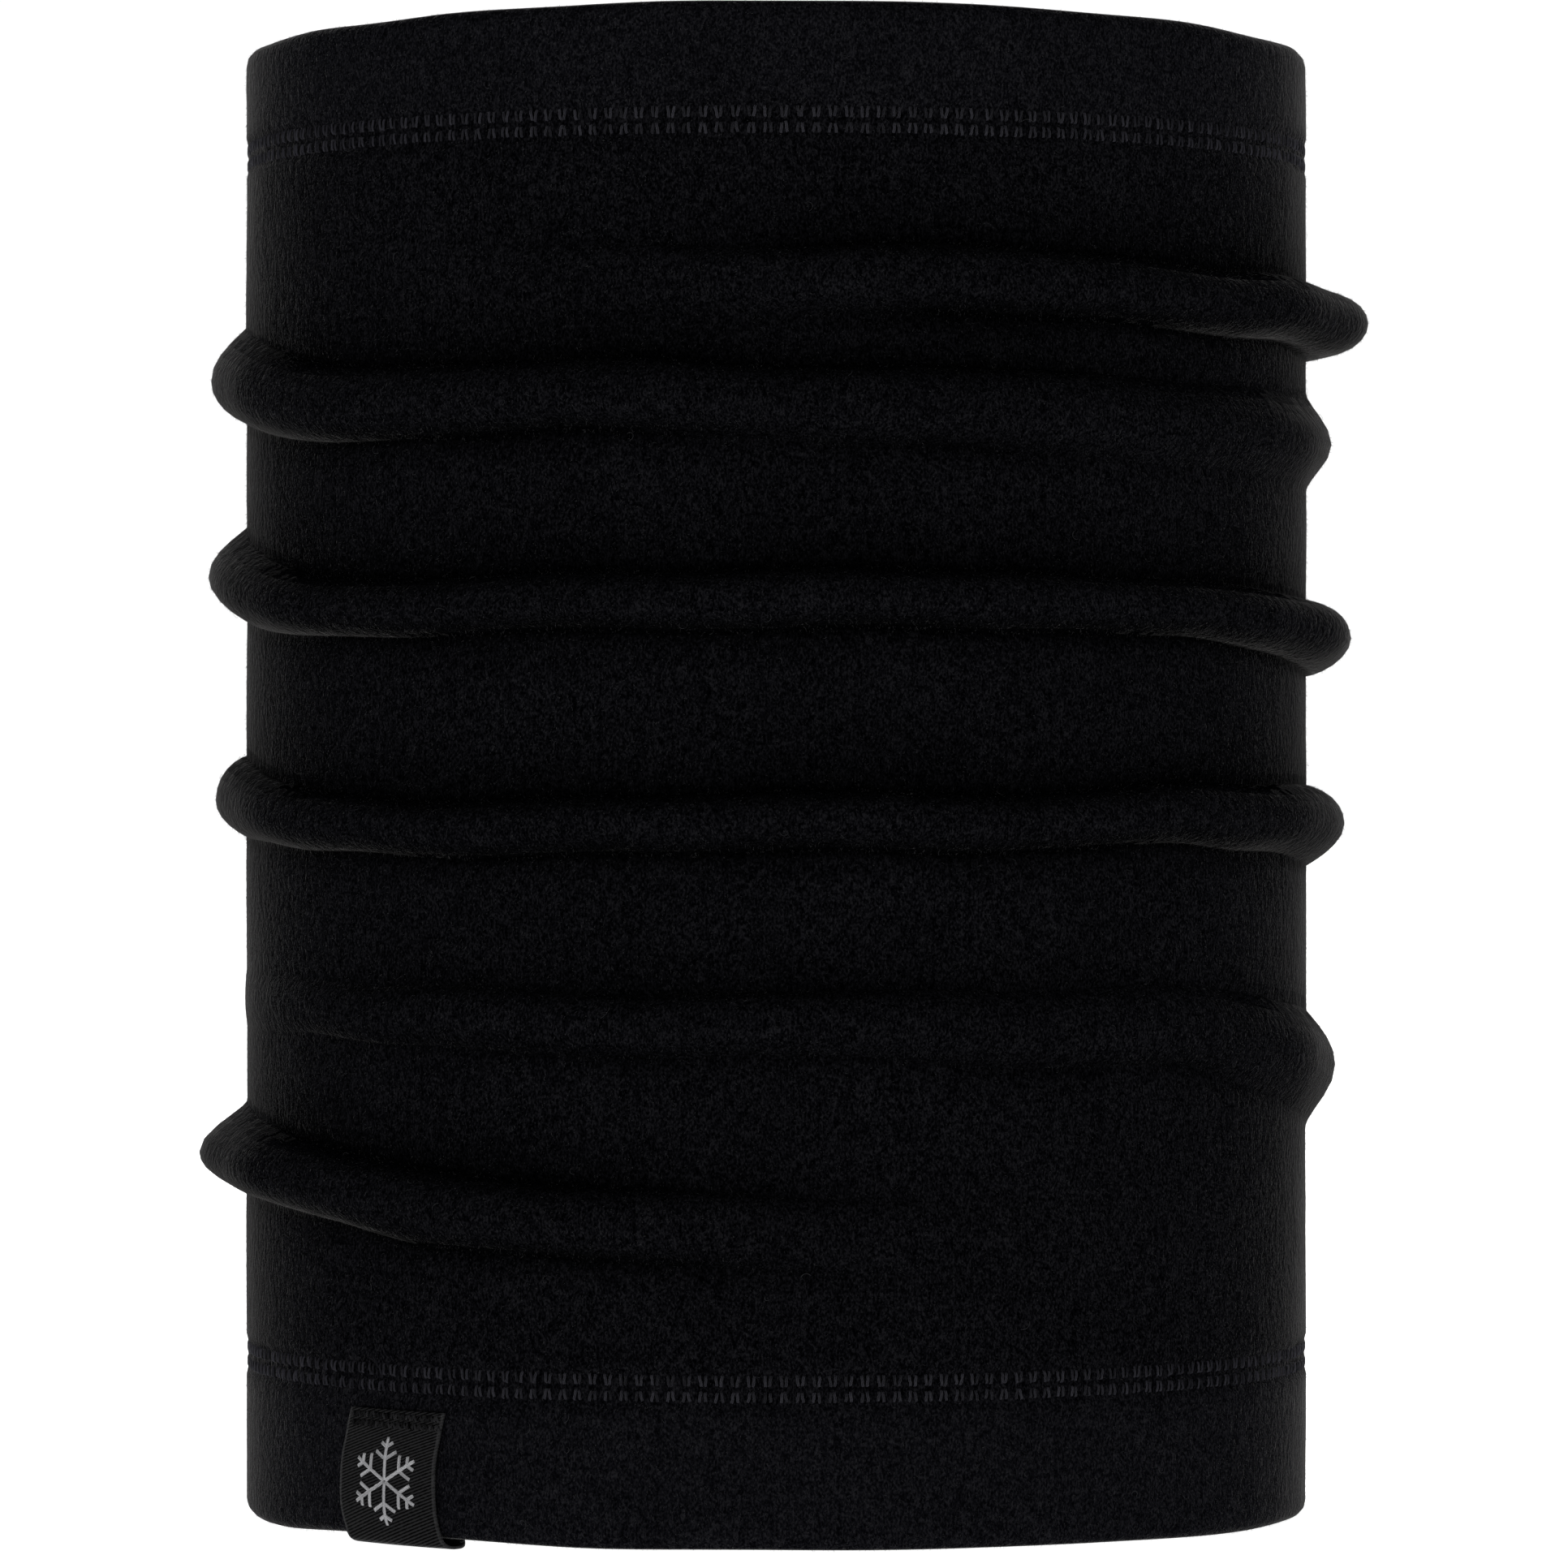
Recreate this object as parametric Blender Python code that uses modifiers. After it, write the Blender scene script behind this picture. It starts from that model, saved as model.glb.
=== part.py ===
"""Neck gaiter: a fleece tube that stands on its bottom hem, with its slack cloth in rucks.

Metres, +Z up. The front faces -Y and the tube's seam runs up the back, at +Y. Angles round the
tube are in degrees from the front towards +X. The origin is the middle of the footprint.
"""

import math

import bmesh
import bpy
from mathutils import Matrix, Vector

# The tube
HALF_WIDTH = 0.083
HALF_DEPTH = 0.0765
TUBE_X = -0.0012  # the rucks stand out most at the right and the front, so the tube is off the middle
TUBE_Y = 0.00075
SIDE_HEIGHT = 0.2263
RIM_CROWN = 0.0025  # the top edge is this much higher at the front and back than at the sides
CLOTH = 0.0018
GAP = 0.0003
AROUND = 44

# The wall is cut into three lengths, so that the middle one can open and close
BOTTOM_HEM_TOP = 0.0285
GATHER_LOW = 0.0935
GATHER_HIGH = 0.1570
TOP_HEM_LOW = 0.2075

# The hems
HEM_SLOT = 0.0004  # between the outer cloth and the cloth turned in behind it
HEM_FLAT = 0.0020  # width of the flat that the fold rests on
FOLD_HEIGHT = 0.0022
FOLD_SHOULDER = 0.25  # share of the fold's height at which its sides have turned halfway in
RAW_EDGE = 0.0010  # the turned-in cloth ends this far short of the hem's edge
COVER_HEIGHT = 0.0039
COVER_THICK = 0.0005
PINCH = 0.0009  # how deep the stitching pulls the outer cloth in
PINCH_REACH = 0.0033  # from the stitching's middle to where the cloth is back at full size
BOTTOM_STITCH = 0.0248
TOP_STITCH = 0.2113
NEEDLE_SPACING = 0.00165
NEEDLE_RADIUS = 0.00035

# The rucks: stops of (angle, height of the crest, how far it stands out), listed round the tube
RUCK_HALF = 0.0065
RUCK_ROWS = (-1.0, -0.5, 0.0, 0.5, 1.0)
RUCK_1 = ((-90, 0.1930, 0.0), (-20, 0.1915, 0.0008), (20, 0.1888, 0.0034), (60, 0.1885, 0.0056),
          (90, 0.1864, 0.0097), (125, 0.1870, 0.0058), (180, 0.1915, 0.0006))
RUCK_2 = ((-90, 0.1772, 0.0052), (-60, 0.1725, 0.0046), (0, 0.1715, 0.0042), (45, 0.1676, 0.0030),
          (90, 0.1670, 0.0039), (135, 0.1690, 0.0034), (180, 0.1720, 0.0020), (-130, 0.1760, 0.0044))
RUCK_3 = ((-90, 0.1466, 0.0062), (-60, 0.1415, 0.0050), (0, 0.1410, 0.0042), (55, 0.1396, 0.0048),
          (90, 0.1377, 0.0075), (130, 0.1390, 0.0050), (180, 0.1430, 0.0020), (-130, 0.1460, 0.0046))
RUCK_4 = ((-90, 0.1116, 0.0046), (-45, 0.1068, 0.0042), (0, 0.1082, 0.0040), (60, 0.1090, 0.0044),
          (90, 0.1078, 0.0060), (130, 0.1085, 0.0042), (180, 0.1110, 0.0018), (-130, 0.1120, 0.0036))
RUCK_5 = ((-90, 0.0805, 0.0012), (-60, 0.0790, 0.0016), (0, 0.0786, 0.0015), (60, 0.0765, 0.0022),
          (90, 0.0706, 0.0046), (130, 0.0740, 0.0030), (180, 0.0790, 0.0010), (-130, 0.0805, 0.0010))
RUCK_6 = ((-90, 0.0565, 0.0073), (-50, 0.0530, 0.0046), (-15, 0.0495, 0.0032), (10, 0.0475, 0.0006),
          (90, 0.0470, 0.0), (180, 0.0520, 0.0006), (-130, 0.0560, 0.0050))

# The seam up the back
SEAM_WIDTH = 0.0055
SEAM_THICK = 0.0004

# The folded ribbon label round the bottom hem
LABEL_ANGLE = -44.1
LABEL_WIDTH = 0.0196
LABEL_THICK = 0.00045
LABEL_TOP = 0.0204
LABEL_INNER_TOP = 0.0180
LABEL_LEAN = 2.2  # degrees round the tube from the label's foot to its top
LABEL_SKEW = 1.6  # degrees that the inner leg sits to the right of the outer one
LABEL_LIFT = 0.0024  # the ribbon's thickness holds the hem this far up
LABEL_LIFT_REACH = 26.0  # degrees each way
LABEL_COLUMNS = 5
LABEL_BEND_HEIGHT = 0.0019
LABEL_BEND_STEPS = 6
TACK_RADIUS = 0.00022
TACK_PITCH = 0.0016
TACK_HEIGHT = 0.0020
TACK_BELOW_EDGE = 0.0016
TACK_MARGIN = 0.0010  # bare ribbon at each side of the tack
MOTIF_RADIUS = 0.0064
MOTIF_BRANCH_AT = 0.52  # share of the radius at which an arm's side branches leave it
MOTIF_BRANCH = 0.36  # length of a side branch, as a share of the radius
MOTIF_BAR = 0.00045  # half the width of a bar
MOTIF_THICK = 0.0003
MOTIF_HEIGHT = 0.0102

# The small care label inside, sewn beside the back seam by one upright edge
CARE_WIDTH = 0.0140
CARE_LOW, CARE_HIGH = 0.0350, 0.0590
CARE_THICK = 0.0004
CARE_HINGE_X = 0.0058
CARE_HINGE_INWARD = CLOTH + 0.0014
CARE_STITCH_WIDTH = 0.0018
CARE_COLUMNS = 5

SHARP_EDGE = math.radians(50)  # edges that turn more than this aren't shaded smooth

MATERIALS = {
    "fleece": ((0.012, 0.012, 0.015, 1.0), 0.95),
    "stitching": ((0.028, 0.028, 0.035, 1.0), 0.60),
    "label_ribbon": ((0.015, 0.015, 0.016, 1.0), 0.65),
    "label_motif": ((0.620, 0.620, 0.640, 1.0), 0.50),
    "care_ribbon": ((0.050, 0.050, 0.055, 1.0), 0.40),
}


def material(name):
    """The Principled material of this name, made on first use."""
    found = bpy.data.materials.get(name)
    if found:
        return found
    colour, roughness = MATERIALS[name]
    made = bpy.data.materials.new(name)
    made.use_nodes = True
    shader = made.node_tree.nodes["Principled BSDF"]
    shader.inputs["Base Color"].default_value = colour
    shader.inputs["Roughness"].default_value = roughness
    shader.inputs["Metallic"].default_value = 0.0
    return made


def add_object(name, data, slot):
    made = bpy.data.objects.new(name, data)
    data.materials.append(material(slot))
    gaiter.objects.link(made)
    return made


def add_mesh(name, points, faces, slot):
    """A mesh object whose faces all point out."""
    data = bpy.data.meshes.new(name)
    data.from_pydata([tuple(point) for point in points], [], faces)
    shape = bmesh.new()
    shape.from_mesh(data)
    bmesh.ops.recalc_face_normals(shape, faces=shape.faces)
    shape.to_mesh(data)
    shape.free()
    data.shade_smooth()
    data.set_sharp_from_angle(angle=SHARP_EDGE)
    return add_object(name, data, slot)


def grid_faces(rows, columns, wrap_rows=False, wrap_columns=False):
    """Quads over a grid of points stored row by row."""
    last_row = rows if wrap_rows else rows - 1
    last_column = columns if wrap_columns else columns - 1
    faces = []
    for i in range(last_row):
        for j in range(last_column):
            below, above = i * columns, (i + 1) % rows * columns
            right = (j + 1) % columns
            faces.append((below + j, below + right, above + right, above + j))
    return faces


def solidify(made, thickness, offset):
    thicken = made.modifiers.new("thickness", "SOLIDIFY")
    thicken.thickness = thickness
    thicken.offset = offset
    thicken.use_even_offset = True
    thicken.use_rim = True


def add_wire(name, points, radius, slot, cyclic=False):
    """A thread: a tube of this radius along the points."""
    data = bpy.data.curves.new(name, "CURVE")
    data.dimensions = "3D"
    data.bevel_depth = radius
    data.bevel_resolution = 0
    data.use_fill_caps = not cyclic
    spline = data.splines.new("POLY")
    spline.points.add(len(points) - 1)
    for place, point in zip(spline.points, points):
        place.co = (*point, 1.0)
    spline.use_cyclic_u = cyclic
    return add_object(name, data, slot)


def tube_point(angle, height, outward=0.0):
    """The point at this angle and height, this far outside the plain tube."""
    turn = math.radians(angle)
    return Vector((
        TUBE_X + (HALF_WIDTH + outward) * math.sin(turn),
        TUBE_Y - (HALF_DEPTH + outward) * math.cos(turn),
        height,
    ))


def ring_angles():
    return [360.0 * i / AROUND - 180.0 for i in range(AROUND)]


def turn_between(first, second):
    """Degrees from first on to second, from 0 to 360."""
    return (second - first) % 360.0


def ruck_at(stops, angle):
    """(crest height, how far it stands out) of a ruck at this angle, eased from stop to stop."""
    for here, there in zip(stops, stops[1:] + stops[:1]):
        span = turn_between(here[0], there[0])
        along = turn_between(here[0], angle)
        if along <= span:
            ease = (1 - math.cos(math.pi * along / span)) / 2
            return tuple(a + (b - a) * ease for a, b in zip(here[1:], there[1:]))
    return stops[0][1:]


def near_label(angle):
    """1 at the label, easing to 0 at the ends of the lifted stretch."""
    away = abs((angle - LABEL_ANGLE + 180.0) % 360.0 - 180.0) / LABEL_LIFT_REACH
    return math.cos(math.pi * away / 2) ** 2 if away < 1 else 0.0


def rim_height(angle):
    return SIDE_HEIGHT + RIM_CROWN * math.cos(math.radians(angle)) ** 2


def wall_rows(low, high, rucks, angle):
    """(height, how far out) of each row of the wall at this angle, from the bottom up."""
    rows = [(low, 0.0)]
    for stops in rucks:
        crest, out = ruck_at(stops, angle)
        rows.append(((rows[-1][0] + crest - RUCK_HALF) / 2, 0.0))
        rows += [
            (crest + RUCK_HALF * step, out * math.cos(math.pi * step / 2) ** 2)
            for step in RUCK_ROWS
        ]
    return rows + [(high, 0.0)]


def add_wall(name, low, high, rucks):
    """A length of the tube's cloth, with its rucks."""
    columns = [wall_rows(low, high, rucks, angle) for angle in ring_angles()]
    count = len(columns[0])
    points = [
        tube_point(angle, *column[row])
        for row in range(count)
        for angle, column in zip(ring_angles(), columns)
    ]
    made = add_mesh(name, points, grid_faces(count, AROUND, wrap_columns=True), "fleece")
    solidify(made, CLOTH, -1)


def add_seam(name, low, high, rucks, inside):
    """The threads of the back seam over one length of the wall, as a flat strip."""
    out = -CLOTH - GAP - SEAM_THICK if inside else GAP
    half_turn = math.degrees(SEAM_WIDTH / 2 / HALF_WIDTH)
    rows = wall_rows(low + GAP, high - GAP, rucks, 180.0)
    layers = []
    for layer in (out, out + SEAM_THICK):
        layers += [
            tube_point(180.0 + side * half_turn, height, bulge + layer)
            for height, bulge in rows
            for side in (-1, 0, 1)
        ]
    add_mesh(name, layers, strip_faces(len(rows)), "stitching")


def strip_faces(rows):
    """The closed faces of two layers of a strip, three points wide."""
    size = rows * 3
    front = grid_faces(rows, 3)
    back = [tuple(size + i for i in reversed(face)) for face in front]
    edge = [3 * i for i in range(rows)]
    edge += [size - 2]
    edge += [3 * i + 2 for i in reversed(range(rows))]
    edge += [1]
    rim = [
        (a, size + a, size + b, b)
        for a, b in zip(edge, edge[1:] + edge[:1])
    ]
    return front + back + rim


def add_ring(name, profile_at, slot):
    """A closed ring whose cross-section, a loop of (height, how far out), may change round it."""
    profiles = [profile_at(angle) for angle in ring_angles()]
    count = len(profiles[0])
    points = [
        tube_point(angle, *profile[i])
        for angle, profile in zip(ring_angles(), profiles)
        for i in range(count)
    ]
    return add_mesh(name, points, grid_faces(AROUND, count, True, True), slot)


def hem_profile(edge, open_end, stitch, up):
    """A hem's cross-section: cloth folded back on itself, with its fold at edge.

    up is 1 where the hem opens upwards from its fold and -1 where it hangs below it.
    """
    inner = -2 * CLOTH - HEM_SLOT
    middle = -CLOTH - HEM_SLOT / 2
    raw = open_end - up * RAW_EDGE
    groove = COVER_HEIGHT / 2 + GAP
    return [
        (open_end, 0.0),
        (stitch + up * PINCH_REACH, 0.0),
        (stitch + up * groove, -PINCH),
        (stitch - up * groove, -PINCH),
        (stitch - up * PINCH_REACH, 0.0),
        (edge + up * FOLD_HEIGHT, 0.0),
        (edge + up * FOLD_HEIGHT * FOLD_SHOULDER, middle / 2 + HEM_SLOT / 2),
        (edge, middle + HEM_FLAT / 2),
        (edge, middle - HEM_FLAT / 2),
        (edge + up * FOLD_HEIGHT * FOLD_SHOULDER, inner - middle / 2 - HEM_SLOT / 2),
        (edge + up * FOLD_HEIGHT, inner),
        (raw, inner),
        (raw, -CLOTH - HEM_SLOT),
        (edge + up * FOLD_HEIGHT, -CLOTH - HEM_SLOT),
        (edge + up * FOLD_HEIGHT, -CLOTH),
        (open_end, -CLOTH),
    ]


def bottom_hem_profile(angle):
    return hem_profile(LABEL_LIFT * near_label(angle), BOTTOM_HEM_TOP - GAP, BOTTOM_STITCH, 1)


def top_hem_profile(angle):
    return hem_profile(rim_height(angle), TOP_HEM_LOW + GAP, TOP_STITCH, -1)


def cover_profile(stitch):
    """The cover stitching's cross-section, in the groove that it pulls into the cloth."""
    half, floor = COVER_HEIGHT / 2, -PINCH + GAP
    return [
        (stitch + half, floor),
        (stitch - half, floor),
        (stitch - half, floor + COVER_THICK),
        (stitch + half, floor + COVER_THICK),
    ]


def add_hem_threads(place, stitch):
    """One hem's threads: the cover thread outside, and the needle threads' rows inside."""
    add_ring(f"{place}_hem_cover_thread", lambda angle: cover_profile(stitch), "stitching")
    inward = -2 * CLOTH - HEM_SLOT - GAP - NEEDLE_RADIUS
    for row, label in enumerate(("lower", "middle", "upper")):
        height = stitch + (row - 1) * NEEDLE_SPACING
        add_wire(
            f"{place}_hem_needle_thread_{label}",
            [tube_point(angle, height, inward) for angle in ring_angles()],
            NEEDLE_RADIUS,
            "stitching",
            cyclic=True,
        )


def label_path():
    """(height, how far out, degrees of lean) down the label's outer leg, under the hem and up inside."""
    outer = GAP + LABEL_THICK / 2
    hem_depth = 2 * CLOTH + HEM_SLOT
    inner = -hem_depth - 2 * GAP - LABEL_THICK / 2
    middle = (outer + inner) / 2
    radius = (outer - inner) / 2
    foot = GAP + LABEL_THICK / 2
    bend_top = foot + LABEL_BEND_HEIGHT
    path = [(LABEL_TOP, outer), (LABEL_TOP / 2, outer), (bend_top, outer)]
    for step in range(1, LABEL_BEND_STEPS):
        turn = math.pi * step / LABEL_BEND_STEPS
        path.append((bend_top - LABEL_BEND_HEIGHT * math.sin(turn), middle + radius * math.cos(turn)))
    path += [(bend_top, inner), (LABEL_TOP / 2, inner), (LABEL_INNER_TOP, inner)]
    length = len(path) - 1
    return [
        (height, out, LABEL_LEAN * height / LABEL_TOP + LABEL_SKEW * i / length)
        for i, (height, out) in enumerate(path)
    ]


def label_point(height, out, lean, across):
    """A point on the label, across metres from its centre line."""
    angle = LABEL_ANGLE + lean + math.degrees(across / (HALF_WIDTH + out))
    return tube_point(angle, height, out)


def add_brand_label():
    points = [
        label_point(height, out, lean, LABEL_WIDTH * (column / (LABEL_COLUMNS - 1) - 0.5))
        for height, out, lean in label_path()
        for column in range(LABEL_COLUMNS)
    ]
    faces = grid_faces(len(label_path()), LABEL_COLUMNS)
    solidify(add_mesh("brand_label_ribbon", points, faces, "label_ribbon"), LABEL_THICK, 0)
    outer = 2 * GAP + LABEL_THICK + TACK_RADIUS
    inner = -2 * CLOTH - HEM_SLOT - 3 * GAP - LABEL_THICK - TACK_RADIUS
    add_tack("brand_label_outer_stitches", LABEL_TOP - TACK_BELOW_EDGE, outer, LABEL_LEAN)
    inner_height, inner_lean = LABEL_INNER_TOP - TACK_BELOW_EDGE, LABEL_LEAN + LABEL_SKEW
    add_tack("brand_label_inner_stitches", inner_height, inner, inner_lean)


def add_tack(name, height, out, lean):
    """A row of zigzag stitches across the label."""
    count = round((LABEL_WIDTH - 2 * TACK_MARGIN) / TACK_PITCH * 2)
    points = [
        label_point(
            height + TACK_HEIGHT * (0.5 if i % 2 else -0.5),
            out,
            lean,
            TACK_PITCH / 2 * (i - count / 2),
        )
        for i in range(count + 1)
    ]
    add_wire(name, points, TACK_RADIUS, "stitching")


def motif_arm():
    """Half the outline of one arm of the snow crystal, from its root to its tip."""
    root = MOTIF_BAR / math.tan(math.radians(30))
    branch_at, branch_length = MOTIF_RADIUS * MOTIF_BRANCH_AT, MOTIF_RADIUS * MOTIF_BRANCH
    slope = Vector((math.sin(math.radians(60)), math.cos(math.radians(60))))
    across = Vector((-slope.y, slope.x)) * 2 * MOTIF_BAR
    start = Vector((MOTIF_BAR, branch_at))
    end = start + slope * branch_length
    back = Vector((MOTIF_BAR, branch_at + 2 * MOTIF_BAR / slope.x))
    tip = Vector((MOTIF_BAR, MOTIF_RADIUS - MOTIF_BAR))
    return [Vector((MOTIF_BAR, root)), start, end, end + across, back, tip]


def add_motif():
    """A plain six-armed snow crystal on the label's outer face."""
    right = motif_arm()
    tip = Vector((0.0, MOTIF_RADIUS))
    left = [Vector((-point.x, point.y)) for point in reversed(right[1:])]
    arm = right + [tip] + left
    data = bpy.data.curves.new("brand_label_motif", "CURVE")
    data.dimensions = "2D"
    data.fill_mode = "BOTH"
    data.extrude = MOTIF_THICK / 2
    spline = data.splines.new("POLY")
    spline.points.add(6 * len(arm) - 1)
    turned = [Matrix.Rotation(math.radians(60 * k), 2) @ point for k in range(6) for point in arm]
    for place, point in zip(spline.points, turned):
        place.co = (*point, 0.0, 1.0)
    spline.use_cyclic_u = True
    made = add_object("brand_label_motif", data, "label_motif")
    turn = math.radians(LABEL_ANGLE + LABEL_LEAN / 2)
    outward = Vector((math.sin(turn) / HALF_WIDTH, -math.cos(turn) / HALF_DEPTH, 0.0)).normalized()
    sideways = Vector((0.0, 0.0, 1.0)).cross(outward)
    frame = Matrix((sideways, Vector((0.0, 0.0, 1.0)), outward)).transposed().to_4x4()
    stand_off = 2 * GAP + LABEL_THICK + MOTIF_THICK / 2
    frame.translation = (
        tube_point(LABEL_ANGLE + LABEL_LEAN / 2, MOTIF_HEIGHT) + outward * stand_off
    )
    made.matrix_world = frame


def add_care_label():
    """The care label's flap, its hinge line on the object's origin, and the stitches beside it."""
    hinge = Vector((CARE_HINGE_X, TUBE_Y + HALF_DEPTH - CARE_HINGE_INWARD, 0.0))
    points = []
    for height in (CARE_LOW, (CARE_LOW + CARE_HIGH) / 2, CARE_HIGH):
        for i in range(CARE_COLUMNS):
            along = GAP + CARE_WIDTH * i / (CARE_COLUMNS - 1)
            sag = -along * (CARE_HINGE_X * 2 + along) / (2 * HALF_DEPTH)
            points.append((along, sag, height))
    flap = add_mesh("care_label_flap", points, grid_faces(3, CARE_COLUMNS), "care_ribbon")
    flap.location = hinge
    solidify(flap, CARE_THICK, 0)
    centre = hinge + Vector((-CARE_STITCH_WIDTH / 2 - 2 * GAP, 0.0, (CARE_LOW + CARE_HIGH) / 2))
    bpy.ops.mesh.primitive_cube_add(size=1.0)
    bar = bpy.context.object
    bar.name = "care_label_stitches"
    bar.data.name = bar.name
    size = (CARE_STITCH_WIDTH, 2 * CARE_THICK, CARE_HIGH - CARE_LOW)
    bar.data.transform(Matrix.Translation(centre) @ Matrix.Diagonal((*size, 1.0)))
    bar.data.materials.append(material("stitching"))
    for collection in list(bar.users_collection):
        collection.objects.unlink(bar)
    gaiter.objects.link(bar)


def add_gaiter():
    walls = {
        "lower": (BOTTOM_HEM_TOP, GATHER_LOW - GAP, (RUCK_6, RUCK_5)),
        "gathered": (GATHER_LOW, GATHER_HIGH - GAP, (RUCK_4, RUCK_3)),
        "upper": (GATHER_HIGH, TOP_HEM_LOW, (RUCK_2, RUCK_1)),
    }
    for place, (low, high, rucks) in walls.items():
        add_wall(f"{place}_fleece_wall", low, high, rucks)
        add_seam(f"{place}_back_seam_cover_thread", low, high, rucks, inside=False)
        add_seam(f"{place}_back_seam_needle_threads", low, high, rucks, inside=True)
    add_ring("bottom_hem", bottom_hem_profile, "fleece")
    add_ring("top_hem", top_hem_profile, "fleece")
    add_hem_threads("bottom", BOTTOM_STITCH)
    add_hem_threads("top", TOP_STITCH)
    add_brand_label()
    add_motif()
    add_care_label()


for leftover in list(bpy.data.objects):
    bpy.data.objects.remove(leftover)
gaiter = bpy.data.collections.new("neck_gaiter")
bpy.context.scene.collection.children.link(gaiter)
add_gaiter()
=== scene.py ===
"""Looks of the neck gaiter: a black micro-fleece tube that stands on its hem, its slack in rucks.

Metres, in the frame of the CAD model: +Z up, the front at -Y and the seam at the back, +Y. Angles
round the tube are in degrees from the front towards +X. The cloth is one closed sheet: it starts at
the raw edge inside the bottom hem, turns round the fold, runs up the wall through its rucks and ends
turned in behind the top hem.
"""

import math

import bpy
import numpy as np
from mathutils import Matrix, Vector, noise


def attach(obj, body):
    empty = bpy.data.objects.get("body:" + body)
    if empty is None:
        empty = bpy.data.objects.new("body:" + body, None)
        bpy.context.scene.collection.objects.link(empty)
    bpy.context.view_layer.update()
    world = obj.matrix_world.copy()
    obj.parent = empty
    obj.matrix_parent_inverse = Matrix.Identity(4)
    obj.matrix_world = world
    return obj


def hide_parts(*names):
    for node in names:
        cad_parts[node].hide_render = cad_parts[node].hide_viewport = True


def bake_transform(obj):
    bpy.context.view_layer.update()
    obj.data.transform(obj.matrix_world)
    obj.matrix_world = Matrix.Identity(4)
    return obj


MM = 0.001

# The tube, as in the CAD model
HALF_WIDTH = 0.083
HALF_DEPTH = 0.0765
TUBE_X = -0.0012
TUBE_Y = 0.00075
RIM_HEIGHT = 0.2280
RIM_CROWN = 0.0014
CLOTH = 0.0018
HEM_SLOT = 0.0004
HEM_DEPTH = 2 * CLOTH + HEM_SLOT
FOLD_HEIGHT = 0.0022
FOLD_REACH = FOLD_HEIGHT * 1.6  # where the hem's straight walls start beside its fold
FRONT_LIFT = 0.0011  # how far the hem arches up in front
BOTTOM_HEM_TOP = 0.0275
TOP_HEM_LOW = 0.2085
BOTTOM_STITCH = 0.0250
TOP_STITCH = 0.2117

# Hem stitching
STITCHES = 217
COLUMNS = 2 * STITCHES
PINCH = 0.00055
PINCH_HALF = 0.0020  # the stitching's half-height, over which the cloth is pulled in
PINCH_EASE = 0.0012
NEEDLE_SPACING = 0.00165
PLY_SWING = 0.15 * MM  # how far a ply winds to each side of its thread

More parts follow.
